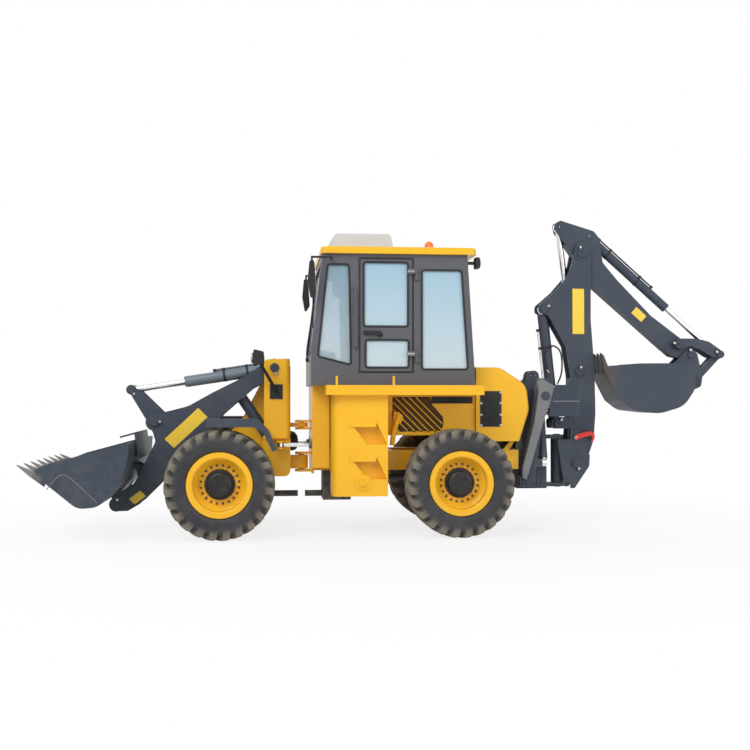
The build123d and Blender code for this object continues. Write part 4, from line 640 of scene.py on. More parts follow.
@dataclass
class Hub:
    """Black planetary hub over the rim's yellow one, with its cover bolts and a ring of small nuts."""

    node: str
    body: str
    side: Side
    disc: float = 0.031
    flange_radius: float = 0.147
    drum_radius: float = 0.124
    end: float = 0.126
    cover_bolts: int = 6
    cover_ring: float = 0.084
    nut_ring: float = 0.188
    nut_count: int = 20

    @staticmethod
    def _ring(centre: np.ndarray, radius: float, count: int, along: float, start: float = 0.0) -> np.ndarray:
        """Places of count bolts on a circle of this radius, along to the right of the centre."""
        turn = np.linspace(0, 2 * np.pi, count, endpoint=False) + start
        return centre + np.stack([radius * np.cos(turn), np.full_like(turn, along), radius * np.sin(turn)],
                                 axis=1)

    def build(self, finishes: Finishes) -> None:
        """Make the drum and the nuts; distances run outboard from the tyre's middle."""
        low, high = (np.array(c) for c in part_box(self.node))
        middle = (low + high) / 2
        out = self.side.value
        track = abs(JOINT_AT[self.body.replace("_body", "")][1])
        centre = np.array([middle[0], out * track, middle[2]])
        profile = [(0.02, 0.0), (0.02, 0.151), (self.disc, 0.151), (self.disc + 0.024, self.flange_radius),
                   (self.disc + 0.026, self.drum_radius), (self.end - 0.014, self.drum_radius - 0.003),
                   (self.end - 0.003, self.drum_radius - 0.014), (self.end, self.drum_radius - 0.024),
                   (self.end, 0.06), (self.end - 0.001, 0.055), (self.end - 0.001, 0.0)]
        drum = turned([(out * a, r) for a, r in profile], centre, Axis.Y, 56)
        covers = self._ring(centre, self.cover_ring, self.cover_bolts, out * (self.end - 0.0005))
        heads = bolt(0.008, 0.008, Axis.Y, out).repeated(covers)
        new_piece(f"hub_{self.node[4:]}", drum + heads, finishes["hub_black"], self.body)
        places = self._ring(centre, self.nut_ring, self.nut_count, out * self.disc, np.pi / self.nut_count)
        nuts = bolt(0.0085, 0.014, Axis.Y, out).repeated(places)
        new_piece(f"nuts_{self.node[4:]}", nuts, finishes["casting_grey"], self.body)


@dataclass
class Cushions:
    """Driver's seat: crowned cushion and backrest with sewn channels and piping, for the plain solid."""

    node: str = "seat"
    body: str = "rear_machine"
    seam_depth: float = 0.009
    seam_width: float = 0.006
    # seams across a pad, as shares of its half width
    channels: tuple[float, ...] = (-0.5, 0.0, 0.5)
    rows: int = 64
    steps: int = 96
    # places in the drawing; half length, half width and thickness in metres; the backrest's lean in degrees
    cushion_place: Point = (1885, 0, 1915)
    cushion_size: Point = (0.232, 0.247, 0.112)
    backrest_place: Point = (2206, 0, 2298)
    backrest_size: Point = (0.268, 0.232, 0.085)
    lean: float = 9.0

    def _pad(self, size: Point, crown: float) -> np.ndarray:
        """Pad in its own plane: superellipse rings from the base's middle over the side to the top's middle.

        The top rises by crown towards its middle, as a parabola both ways, and dips along each channel.
        """
        half_x, half_y, thick = size
        # each ring's share of the half sizes and of the thickness: base, lower edge, side, upper edge, top
        share = np.concatenate([np.linspace(0.02, 0.95, 8), np.linspace(0.97, 1.0, 6), np.ones(6),
                                np.linspace(1.0, 0.96, 8), np.linspace(0.95, 0.005, self.rows)])
        rise = np.concatenate([np.zeros(8), np.linspace(0.02, 0.22, 6), np.linspace(0.3, 0.62, 6),
                               np.linspace(0.68, 0.88, 8), np.full(self.rows, 0.9)])
        turn = np.linspace(0, 2 * np.pi, self.steps, endpoint=False)[None, :]
        pull = 1 - 0.02 * np.cos(2 * turn) ** 2
        x = half_x * pull * share[:, None] * np.sign(np.cos(turn)) * np.abs(np.cos(turn)) ** 0.4
        y = half_y * pull * share[:, None] * np.sign(np.sin(turn)) * np.abs(np.sin(turn)) ** 0.4
        top = (rise[:, None] >= 0.9) * 1.0
        swell = crown * (1 - (x / half_x) ** 2) * (1 - (y / half_y) ** 2)
        dip = sum(np.exp(-((y - c * half_y) / self.seam_width) ** 2) for c in self.channels)
        piping = np.exp(-((share[:, None] - 0.9) / 0.018) ** 2)
        sewn = self.seam_depth * dip * np.clip((0.93 - share[:, None]) * 12, 0, 1)
        z = thick * rise[:, None] + top * (swell - sewn + 0.003 * piping)
        return np.stack([x, y, np.minimum(z, thick)], axis=-1)

    def build(self, finishes: Finishes) -> None:
        """Make both pads and fasten them; the solid stays for collision."""
        flat = self._pad(self.cushion_size, 0.012) + drawn(*self.cushion_place)
        cushion = new_piece("seat_cushion", capped(flat), finishes["seat_vinyl"], self.body)
        upright = self._pad(self.backrest_size, 0.01)
        lean = math.radians(self.lean)
        up = np.array([math.sin(lean), 0.0, math.cos(lean)])
        across = np.array([0.0, 1.0, 0.0])
        forward = np.array([-math.cos(lean), 0.0, math.sin(lean)])
        foot = drawn(*self.backrest_place)
        points = foot + upright[..., :1] * up + upright[..., 1:2] * across + upright[..., 2:] * forward
        backrest = new_piece("seat_backrest", capped(points), finishes["seat_vinyl"], self.body)
        for pad in (cushion, backrest):
            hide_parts(self.node)


@dataclass
class Windows:
    """Black rubber seals round the side panes, the doors, the windscreen and the rear window."""

    wall: float = 740.0
    width: float = 0.022
    height: float = 0.006
    fixed: tuple[tuple[Flat, ...], ...] = (
        ((1058, 2721), (1270, 2721), (1290, 1717), (962, 1800)),
        ((2008, 2672), (2412, 2672), (2476, 1673), (2008, 1673)))
    leaf: tuple[tuple[Flat, ...], ...] = (
        ((1419, 2746), (1865, 2746), (1865, 2103), (1419, 2103)),
        ((1439, 1965), (1871, 1965), (1871, 1690), (1439, 1690)))
    leaf_edge: tuple[Flat, ...] = ((1372, 1640), (1372, 2790), (1920, 2790), (1920, 1640))
    # name, sill and head (x, z), half width, and -1 for facing forwards or 1 for backwards
    ends: tuple[tuple[str, Flat, Flat, float, int], ...] = (
        ("windscreen_seal", (892.0, 1830.0), (1001.0, 2760.0), 640.0, -1),
        ("rear_window_seal", (2544.5, 1690.0), (2478.6, 2740.0), 600.0, 1))

    def _seals(self, windows: Sequence[Sequence[Flat]]) -> Shape:
        """Seals of several windows on the left wall: they overlap the pane and the wall's edge."""
        face = side_sheet(self.wall)
        outlines = [inset(outline_mm(window, 30), -0.013) for window in windows]
        return joined([face.seal(outline, self.width, self.height, -0.001) for outline in outlines])

    def build(self, finishes: Finishes) -> None:
        """Make the seals on both sides; the doors' ones ride on the doors."""
        new_piece("window_seals", self._seals(self.fixed).both(), finishes["trim_dark"], "rear_machine")
        edge = inset(outline_mm(self.leaf_edge, 24), 0.002)
        leaf = self._seals(self.leaf) + side_sheet(self.wall).seal(edge, 0.012, 0.004, -0.001)
        new_piece("door_seals_left", leaf, finishes["trim_dark"], "door_left_body")
        new_piece("door_seals_right", leaf.mirrored(), finishes["trim_dark"], "door_right_body")
        for name, low, high, half, inward in self.ends:
            start, end = drawn(low[0], 0, low[1]), drawn(high[0], 0, high[1])
            length = float(np.linalg.norm(end - start))
            up = (end - start) / length
            out = np.array([inward * up[2], 0.0, -inward * up[0]])
            face = Sheet(tuple(start), (0.0, 1.0, 0.0), tuple(up), tuple(out))
            half_m = half / 1000
            ring = rounded([(-half_m, 0), (half_m, 0), (half_m, length), (-half_m, length)], 0.04)
            seal = face.seal(inset(ring, -0.006), 0.03, 0.006, -0.003)
            new_piece(name, seal, finishes["trim_dark"], "rear_machine")


@dataclass
class DoorTrim:
    """Black pull handle with its lock, and the bolts of the two hinges, on one door."""

    side: Side
    wall: float = 740.0
    grip: tuple[Point, ...] = (
        (1440, 741, 2036), (1441, 764, 2036), (1462, 772, 2034), (1510, 773, 2026), (1560, 770, 2020),
        (1584, 762, 2018), (1586, 741, 2018))
    rosettes: tuple[Flat, ...] = ((1440, 2036), (1586, 2018))
    lock: tuple[Flat, ...] = ((1428, 2018), (1592, 2018), (1592, 2057), (1428, 2057))
    hinge_z: tuple[float, ...] = (1827, 2657)
    hinge_x: tuple[float, ...] = (1872, 1896, 1920)

    def build(self, finishes: Finishes) -> None:
        """Make the handle as an eased tube on two rosettes."""
        grip = tube(eased([drawn(x, -y, z) for x, y, z in self.grip], 36), 0.011)
        rosette = [(0.0, 0.026), (-0.006, 0.026), (-0.01, 0.02), (-0.01, 0.0)]
        for x, z in self.rosettes:
            grip = grip + turned(rosette, drawn(x, -self.wall, z), Axis.Y, 20)
        grip = grip + side_sheet(self.wall + 25).plate(outline_mm(self.lock, 10), 0.003)
        places = np.array([drawn(x, -self.wall - 27, z) for z in self.hinge_z for x in self.hinge_x])
        bolts = bolt(0.008, 0.006).repeated(places)
        hand = self.side.hand
        if self.side is Side.RIGHT:
            grip, bolts = grip.mirrored(), bolts.mirrored()
        new_piece(f"door_handle_{hand}", grip, finishes["trim_dark"], f"door_{hand}_body")
        new_piece(f"hinge_bolts_{hand}", bolts, finishes["bolt_zinc"], f"door_{hand}_body")


@dataclass
class CabTrim:
    """Grab rails, mirrors, wipers, lamps and beacon of the cab."""

    body: str = "rear_machine"
    rail: tuple[Point, ...] = (
        (1330, 738, 2475), (1330, 776, 2475), (1332, 784, 2452), (1335, 784, 2350), (1336, 784, 2150),
        (1336, 784, 2000),
        (1334, 784, 1905), (1332, 776, 1884), (1332, 738, 1884))
    inner_arm: tuple[Point, ...] = (
        (1177, -640, 2660), (1177, -640, 2730), (1180, -650, 2760), (1186, -684, 2775))
    # name, foot and tip (x, z), and -1 before the cab or 1 behind it
    wipers: tuple[tuple[str, Flat, Flat, int], ...] = (
        ("front_wiper", (886, 1790), (948, 2330), -1), ("rear_wiper", (2566, 1640), (2528, 2180), 1))
    rear_lamp: Point = (2599, -680, 2755)
    beacon: Point = (2146, -300, 2902)
    beacon_ribs: int = 18

    def build(self, finishes: Finishes) -> None:
        """Make every fitting on both sides."""
        rail = tube(eased([drawn(x, -y, z) for x, y, z in self.rail], 60), 0.012)
        new_piece("grab_rails", rail.both(), finishes["cab_grey"], self.body)
        self._mirrors(finishes)
        self._wipers(finishes)
        self._lamps(finishes)
        self._beacon(finishes)

    def _mirrors(self, finishes: Finishes) -> None:
        """Silvered face at the back of each outer mirror, and the oval inner mirror on its arm."""
        start, end = drawn(936.5, -865, 2425), drawn(917, -865, 2735)
        up = (end - start) / np.linalg.norm(end - start)
        face = Sheet(tuple(start), (0.0, -1.0, 0.0), tuple(up), (float(up[2]), 0.0, float(-up[0])))
        length = float(np.linalg.norm(end - start))
        outline = rounded([(-0.03, 0.008), (0.03, 0.008), (0.03, length - 0.008), (-0.03, length - 0.008)],
                          0.02)
        plates = face.plate(outline, 0.003, 0.001).both()
        new_piece("mirror_faces", plates, finishes["mirror_silver"], self.body)
        centre = drawn(1177, -655, 2528)
        turn = np.linspace(0, 2 * np.pi, 48, endpoint=False)[None, :]
        share = np.array([0.02, 0.9, 0.99, 1.0, 1.0, 0.97, 0.88, 0.6, 0.02])[:, None]
        depth = np.array([0.0, 0.0, 0.004, 0.01, 0.018, 0.026, 0.032, 0.037, 0.039])[:, None]
        depth = depth * np.ones_like(turn)
        oval = np.stack([0.072 * share * np.sign(np.cos(turn)) * np.abs(np.cos(turn)) ** 0.75, depth,
                         0.132 * share * np.sign(np.sin(turn)) * np.abs(np.sin(turn)) ** 0.75], axis=-1)
        arm = tube(eased([drawn(*place) for place in self.inner_arm], 20), 0.007)
        new_piece("inner_mirror", capped(oval + centre) + arm, finishes["lamp_black"], self.body)

    def _wipers(self, finishes: Finishes) -> None:
        """Wiper arm and blade up the windscreen and the rear window."""
        for name, foot, tip, out in self.wipers:
            a, b = drawn(foot[0] + out * 6, 0, foot[1]), drawn(tip[0] + out * 10, -60, tip[1])
            bends = (a, a + (out * 0.016, -0.01, 0.04), (a + b) / 2 + (out * 0.012, 0.0, 0.0), b)
            arm = tube(eased(bends, 24), 0.006)
            heel = drawn(tip[0] + 11 * out, -60, tip[1] - 200)
            blade = tube(np.linspace(heel, b + (0.0, 0.0, 0.16), 12), 0.007, 8)
            profile = [(0.0, 0.028), (out * 0.022, 0.026), (out * 0.03, 0.012), (out * 0.03, 0.0)]
            motor = turned(profile, a - (out * 0.012, 0.0, 0.0), Axis.X, 20)
            new_piece(name, arm + blade + motor, finishes["trim_dark"], self.body)

    def _lamps(self, finishes: Finishes) -> None:
        """Domed lenses of the roof's rear lamps, and their rims."""
        dome = [(0.0, 0.038), (0.006, 0.038), (0.012, 0.03), (0.016, 0.015), (0.017, 0.0)]
        hoop = [(0.0, 0.048), (0.01, 0.048), (0.014, 0.044), (0.014, 0.036), (0.0, 0.036)]
        for name, profile, finish, slot in (("rear_lamp_lenses", dome, "lamp_glass", "glass"),
                                            ("rear_lamp_rims", hoop, "lamp_black", "lamp_black")):
            shape = turned(profile, drawn(*self.rear_lamp), Axis.X, 28)
            new_piece(name, shape.both(), finishes[finish], self.body)

    def _beacon(self, finishes: Finishes) -> None:
        """Ribbed orange dome over the beacon's solid: upright ribs stand a little proud round it."""
        height = np.array([0.028, 0.03, 0.05, 0.07, 0.088, 0.102, 0.114, 0.122, 0.1275, 0.1295])[:, None]
        radius = np.array([0.02, 0.0455, 0.0455, 0.0455, 0.0448, 0.0405, 0.033, 0.023, 0.011, 0.0005])
        turn = np.linspace(0, 2 * np.pi, 72, endpoint=False)[None, :]
        radius = radius[:, None] * (1 + 0.022 * np.cos(self.beacon_ribs * turn))
        dome = np.stack([radius * np.cos(turn), radius * np.sin(turn), height + 0 * turn], axis=-1)
        dome = dome + drawn(*self.beacon)
        new_piece("beacon_dome", capped(dome), finishes["beacon_orange"], self.body)


@dataclass
class PinEnd:
    """End of a pin at y from the middle: chamfered head with a keeper plate and its bolt.

    Places and radius are in the drawing's millimetres; keeper is the way (x, z) that its plate points. A flat
    end is a thin disc with a small bolt, for places that other pieces sweep.
    """

    x: float
    z: float
    y: float
    radius: float
    keeper: Flat = (1.0, 0.0)
    flat: bool = False

    def shape(self) -> tuple[Shape, Shape]:
        """Head and keeper as one shape, and the bolt as another, on the left side."""
        centre = drawn(self.x, -self.y, self.z)
        r = self.radius / 1000
        if self.flat:
            low = turned([(0.004, r), (-0.002, r), (-0.0035, r - 0.003), (-0.0035, 0.0)], centre, Axis.Y, 32)
            return low, turned([(0.002, 0.006), (-0.005, 0.006), (-0.005, 0.0)], centre, Axis.Y, 12)
        profile = [(0.004, r), (-0.009, r), (-0.013, r - 0.005), (-0.013, 0.3 * r), (-0.010, 0.24 * r),
                   (-0.010, 0.0)]
        head = turned(profile, centre, Axis.Y, 32)
        along = np.array(self.keeper) / math.hypot(*self.keeper)
        reach, half = r + 0.028, 0.015
        square = np.array([-along[1], along[0]])

        def strip(near: float, radius: float) -> np.ndarray:
            """Rounded strip along the keeper, from near to its reach."""
            corners = [tuple(near * along - half * square), tuple(reach * along - half * square),
                       tuple(reach * along + half * square), tuple(near * along + half * square)]
            return rounded(corners, radius)

        face = Sheet(tuple(centre))
        plate = face.plate(strip(0.35 * r, 0.006), 0.006, 0.0015, 0.0125)
        foot = face.plate(strip(r + 0.006, 0.004), 0.0135, 0.001, -0.004)
        spot = centre + np.array([along[0] * (reach - 0.013), -0.0185, along[1] * (reach - 0.013)])
        return head + plate + foot, bolt(0.0095, 0.008).moved(spot)


def pin_table() -> dict[str, tuple[PinEnd, ...]]:
    """The pins' ends by the body that carries them, in the drawing's millimetres."""

    def at(joint: str, y: float, radius: float, keeper: Flat = (1.0, 0.0), dx: float = 0.0,
           dz: float = 0.0, flat: bool = False) -> PinEnd:
        """End of the pin of a joint, or of one dx and dz from it."""
        x, _, z = JOINT_AT[joint]
        return PinEnd((x - AXLE_X) * 1000 + dx, z * 1000 + dz, y, radius, keeper, flat)

    return {
        "rockers_body": (at("rocker_pivot", 186, 40, (0.6, -0.8), -247, 333),),
        "arms_body": (at("rocker_pivot", 279, 44, (1.0, 0.1)),),
        "bucket_body": (at("bucket_dump", 287, 38, (0.3, 1.0)),),
        "front_machine": (at("lift", 312, 46, (0.2, -1.0)),),
        "boom_body": (at("stick", 113, 50, (-0.3, 1.0)), at("boom", 113, 40, (0.2, 1.0), 49, 984),
                      at("boom", 109, 38, (0.8, 0.6), -334, 1667)),
        "swing_body": (at("boom", 142, 44, (0.5, -1.0)), at("boom", 142, 40, (0.7, 0.7), -202, 433)),
        "stick_body": (at("stick", 70, 40, dx=-234, dz=288, flat=True),
                       at("stick", 70, 40, dx=96, dz=196, flat=True),
                       at("backhoe_curl", 118, 42, (-1.0, 0.3), -149, 111)),
        "levers_body": (at("backhoe_curl", 118, 40, (-0.8, 0.4), 324, 7),),
        "backhoe_bucket_body": (at("backhoe_curl", 90, 38, (-0.2, 1.0)),
                                at("backhoe_curl", 90, 38, (-1.0, 0.1), 54, -276)),
    }


@dataclass
class Labels:
    """Blank yellow label plates with a raised border on the arms, boom and stick."""

    thickness: float = 0.002
    border: float = 0.008
    # name, body, distance from the middle, corners in the drawing's millimetres
    table: tuple[tuple[str, str, float, tuple[Flat, ...]], ...] = (
        ("arm", "arms_body", 265, ((-590, 962), (-494, 868), (-153, 1186), (-249, 1280))),
        ("arm_foot", "arms_body", 265, ((-948, 352), (-888, 296), (-774, 380), (-834, 438))),
        ("boom", "boom_body", 105, ((3742, 2075), (3872, 2075), (3872, 2566), (3742, 2566))),
        ("stick", "stick_body", 70, ((4408, 2312), (4520, 2212), (4580, 2277), (4468, 2378))))

    def build(self, finishes: Finishes) -> None:
        """Make each plate on the left and on the right side, with its raised border."""
        for name, body, y, corners in self.table:
            outline = outline_mm(corners, 7, 4)
            face = side_sheet(y)
            plate = face.plate(outline, self.thickness, 0.0006, -0.001)
            edge = face.seal(inset(outline, 0.004), self.border, 0.0022, 0.0)
            new_piece(f"label_{name}", (plate + edge).both(), finishes["label_yellow"], body)


@dataclass
class RamPipe:
    """Steel pipe along a ram's barrel, from the port at its foot to the one at its gland, held by clamps.

    Millimetres: foot and eye are the barrel's pin and the rod's, barrel and pipe are radii, and span gives
    where the pipe starts and ends from the foot. The offset is the way from the barrel's axis to the pipe.
    """

    name: str
    body: str
    foot: Point
    eye: Point
    barrel: float
    span: Flat
    offset: Point
    pipe: float = 9.0
    finish: str = "rod_chrome"
    both_sides: bool = True
    # clamps: places as shares of the pipe's length, steps round them, (along, height) of the band's section
    clamps_at: Flat = (0.22, 0.78)
    clamp_steps: int = 40
    band: tuple[Flat, ...] = ((-0.012, 0.0), (-0.012, 0.0045), (0.012, 0.0045), (0.012, 0.0))
    clamp_block: tuple[Flat, ...] = ((-0.014, -0.018), (0.014, -0.018), (0.014, 0.018), (-0.014, 0.018))

    def build(self, finishes: Finishes) -> None:
        """Make pipe, ports and clamps."""
        start, end = drawn(*self.foot), drawn(*self.eye)
        ahead = (end - start) / np.linalg.norm(end - start)
        away = np.array(self.offset) - ahead * np.dot(self.offset, ahead)
        away /= np.linalg.norm(away)
        near, far = (start + ahead * s / 1000 for s in self.span)
        rise, skin = (self.barrel + self.pipe + 9) / 1000, (self.barrel - 4) / 1000
        route = [near + away * skin, near + away * rise, near + ahead * 0.035 + away * rise,
                 (near + far) / 2 + away * rise, far - ahead * 0.035 + away * rise, far + away * rise,
                 far + away * skin]
        pipe = tube(eased(route, 60), self.pipe / 1000, 12)
        side = np.cross(ahead, away)
        turn = np.linspace(0, 2 * np.pi, self.clamp_steps, endpoint=False)[None, :, None]
        around = np.cos(turn) * away + np.sin(turn) * side
        section = np.array(self.band)
        radius = self.barrel / 1000 - 0.001 + section[:, 1:2]
        clamps = []
        for share in self.clamps_at:
            middle = near + (far - near) * share
            rings = middle + section[:, :1, None] * ahead + radius[..., None] * around
            faces = grid_faces(len(section), self.clamp_steps, True, True)
            clamps.append(Shape(rings.reshape(-1, 3), faces).outward())
            block = Sheet(tuple(middle + away * (skin + 0.002)), tuple(ahead), tuple(side), tuple(away))
            clamps.append(block.plate(rounded(self.clamp_block, 0.004), rise - skin + 0.008, 0.002))
        ports = [tube(np.stack([p + away * skin, p + away * (rise + 0.012)]), 0.016, 8) for p in (near, far)]
        fittings = joined(clamps + ports)
        for name, shape, finish, slot in (("pipe", pipe, self.finish, "chrome"),
                                          ("clamps", fittings, "trim_dark", "interior")):
            whole = shape.both() if self.both_sides else shape
            new_piece(f"{self.name}_{name}", whole, finishes[finish], self.body)


@dataclass
class Hose:
    """Black hydraulic hose on one body, a cord that leaves the object and goes back into it."""

    name: str
    body: str
    route: tuple[Point, ...]
    diameter: float = 0.018

    def build(self, finishes: Finishes) -> None:
        """Make the hose as an open spline through its route's control points, and its crimped ends."""
        points = [drawn(*p) for p in self.route]
        data = bpy.data.curves.new(self.name, "CURVE")
        data.dimensions = "3D"
        spline = data.splines.new("NURBS")
        spline.points.add(len(points) - 1)
        for held, place in zip(spline.points, points):
            held.co = (*place, 1.0)
        spline.order_u = 3
        spline.use_endpoint_u = True
        data.resolution_u = 10
        data.bevel_depth = self.diameter / 2
        data.bevel_resolution = 4
        data.materials.append(finishes["hose_black"])
        hose = bpy.data.objects.new(self.name, data)
        bpy.context.scene.collection.objects.link(hose)
        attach(hose, self.body)
        ends = [tube(np.stack([p, p + (q - p) / np.linalg.norm(q - p) * 0.04]), self.diameter * 0.68, 10)
                for p, q in ((points[0], points[1]), (points[-1], points[-2]))]
        crimps = new_piece(f"{self.name}_ends", ends[0] + ends[1], finishes["bolt_zinc"], self.body)


@dataclass
class Grilles:
    """Louvred panels on hood and side panels, the bolts along them and the platform, and step ledges."""

    ledges: tuple[tuple[Flat, ...], ...] = (
        ((1268, 1147), (1530, 1147), (1530, 1094), (1268, 1095)),
        ((1268, 805), (1530, 804), (1530, 752), (1268, 753)))
    # name, ends along x and z, distance from the middle, slats, height of their lips in metres
    panels: tuple[tuple[str, Flat, Flat, float, int, float], ...] = (
        ("hood_grilles", (2644, 2869), (1086, 1455), 520, 14, 0.008),
        ("side_grilles", (2140, 2572), (1326, 1398), 488, 3, 0.01))
    hood_bolt_x: Flat = (2654, 2859)
    hood_bolt_z: tuple[float, ...] = (1100, 1210, 1330, 1441)
    deck_bolt_x: tuple[float, ...] = (1090, 1330, 1570, 1810, 2050, 2290, 2530)

    @staticmethod
    def _panel(x: Flat, z: Flat, y: float, slats: int, proud: float) -> Shape:
        """Panel of pressed louvres: its height over the sheet rises along each slat and drops at its lip."""
        u, v = np.linspace(0, 1, 40), np.linspace(0, 1, slats * 8 + 1)
        across, up = np.meshgrid(u, v)
        saw = (v * slats) % 1.0
        sides = np.clip(np.minimum(u, 1 - u) / 0.06 - 0.8, 0, 1)[None, :]
        ends = np.clip(np.minimum(v, 1 - v) / 0.03 - 0.5, 0, 1)[:, None]
        slope = np.clip(saw / 0.75, 0, 1)[:, None]
        height = proud * (0.35 + 0.65 * (sides * ends) * slope * (saw < 0.8)[:, None])
        face = side_sheet(y)
        flat = np.stack([x[0] + (x[1] - x[0]) * across, z[0] + (z[1] - z[0]) * up], axis=-1) / 1000
        top, base = face.place(flat, height), face.place(flat, -0.002)
        rows, columns = up.shape
        count = rows * columns
        faces = grid_faces(rows, columns, False, False)
        around = np.concatenate([np.arange(columns), np.arange(1, rows) * columns + columns - 1,
                                 (rows - 1) * columns + np.arange(columns - 2, -1, -1),
                                 np.arange(rows - 2, 0, -1) * columns])
        after = np.roll(around, -1)
        under = [[i + count for i in quad][::-1] for quad in faces]
        walls = np.stack([around, around + count, after + count, after], axis=1).tolist()
        return Shape(np.concatenate([top.reshape(-1, 3), base.reshape(-1, 3)]),
                     faces + under + walls).outward()

    def build(self, finishes: Finishes) -> None:
        """Make the panels, their bolts, the platform's and the step ledges."""
        yellow, body = finishes["machine_yellow"], "rear_machine"
        for name, x, z, y, slats, proud in self.panels:
            new_piece(name, self._panel(x, z, y, slats, proud).both(), finishes["trim_dark"], body)
        deck = bolt(0.009, 0.006).repeated(np.array([drawn(x, -960, 1462) for x in self.deck_bolt_x]))
        new_piece("deck_bolts", deck.both(), yellow, body)
        outlines = [outline_mm(corners, 6, 4) for corners in self.ledges]
        ledges = joined([side_sheet(875).plate(outline, 0.016, 0.004, -0.002) for outline in outlines])
        new_piece("step_ledges", ledges.both(), yellow, body)
        places = [drawn(x, -525, z) for x in self.hood_bolt_x for z in self.hood_bolt_z]
        bolts = bolt(0.009, 0.007).repeated(np.array(places))
        new_piece("panel_bolts", bolts.both(), finishes["bolt_zinc"], body)


@dataclass
class RoofUnitTrim:
    """Intake grille and lid seam of the air conditioner, on its white housing."""

    bars: int = 6
    bar_half: float = 300.0
    first_z: float = 2976.0
    pitch: float = 14.0
    # foot of the housing's sloping front (x, z), and how far back and up that front runs
    front_foot: Flat = (1090.0, 2962.0)
    front_run: Flat = (64.0, 122.0)
    seam_z: float = 2955.0
    seam_x: Flat = (1100.0, 1748.0)

    def build(self, finishes: Finishes) -> None:
        """Make the intake's bars across the housing's front, and the seam at its front and sides."""
        bars = []
        for step in range(self.bars):
            z = self.first_z + self.pitch * step
            x = self.front_foot[0] + (z - self.front_foot[1]) * self.front_run[0] / self.front_run[1] - 1
            bars.append(tube(np.stack([drawn(x, -self.bar_half, z), drawn(x, self.bar_half, z)]), 0.004, 8))
        new_piece("roof_intake", joined(bars), finishes["trim_dark"], "rear_machine")
        routes = [[drawn(x, y, self.seam_z) for x in self.seam_x] for y in (-400, 400)]
        routes.append([drawn(1091, y, self.seam_z) for y in (-398, 398)])
        seam = [tube(np.array(route), 0.004, 8) for route in routes]
        new_piece("roof_unit_seam", joined(seam), finishes["unit_white"], "rear_machine")


@dataclass
class HeadlampLens:
    """Domed lens and bright rim on the front of each working lamp."""

    x: float = 302.0
    y: float = 560.0
    z: float = 1790.0
    radius: float = 0.046

    def build(self, finishes: Finishes) -> None:
        """Make the lens and the rim as turned bodies."""
        centre = drawn(self.x, -self.y, self.z)
        r = self.radius
        dome = [(0.0, 0.0), (0.0, r), (-0.004, r), (-0.009, r * 0.85), (-0.013, r * 0.5), (-0.014, 0.0)]
        hoop = [(0.006, r + 0.007), (-0.004, r + 0.007), (-0.006, r + 0.004), (-0.006, r - 0.001),
                (0.0, r - 0.002)]
        lens, rim = (turned(profile, centre, Axis.X, 36) for profile in (dome, hoop))
        new_piece("headlamp_lenses", lens.both(), finishes["lamp_glass"], "front_machine")
        new_piece("headlamp_rims", rim.both(), finishes["bolt_zinc"], "front_machine")


@dataclass
class BackhoeTrim:
    """Red boom lock with its pivot on the left cheek of the swing post."""

    lock: tuple[Flat, ...] = (
        (3738, 948), (3770, 930), (3850, 962), (3930, 978), (3946, 950), (3926, 912), (3950, 908),
        (3972, 960), (3966, 1006), (3922, 1026),
        (3850, 1016), (3760, 986))
    pivot: Point = (3762, -151, 957)

    def build(self, finishes: Finishes) -> None:
        """Make the lever with its knob, and the pivot's bolt."""
        lever = side_sheet(142).plate(outline_mm(self.lock, 10, 4), 0.011, 0.003)
        knob = turned([(0.0, 0.012), (-0.012, 0.012), (-0.014, 0.0)], drawn(*self.pivot), Axis.Y, 18)
        new_piece("boom_lock", lever + knob, finishes["hook_red"], "swing_body")
        pivot = turned([(0.012, 0.018), (-0.004, 0.018), (-0.006, 0.014), (-0.006, 0.0)], drawn(*self.pivot),
                       Axis.Y, 20)
        new_piece("boom_lock_pin", pivot, finishes["bolt_zinc"], "swing_body")


@dataclass
class BucketTrim:
    """Edge strips along the loader bucket's cheeks and the weld bead of the wear plate under each."""

    cheek: float = 1079.0
    strip: tuple[Flat, ...] = (
        (-880, 944), (-1040, 905), (-1589, 757), (-1722, 702), (-1688, 652), (-1580, 676), (-1040, 822),
        (-862, 872))
    bead: tuple[Flat, ...] = ((-1606, 520), (-1520, 640), (-1440, 668), (-1340, 590), (-1140, 392))

    def build(self, finishes: Finishes) -> None:
        """Make both cheeks' strips and beads."""
        strip = side_sheet(self.cheek).plate(outline_mm(self.strip, 14, 4), 0.0025, 0.0008, -0.001)
        new_piece("bucket_edges", strip.both(), finishes["frame_slate"], "bucket_body")
        bead = tube(eased([drawn(x, 1.5 - self.cheek, z) for x, z in self.bead], 60), 0.004, 8)
        new_piece("bucket_weld", bead.both(), finishes["leg_grey"], "bucket_body")


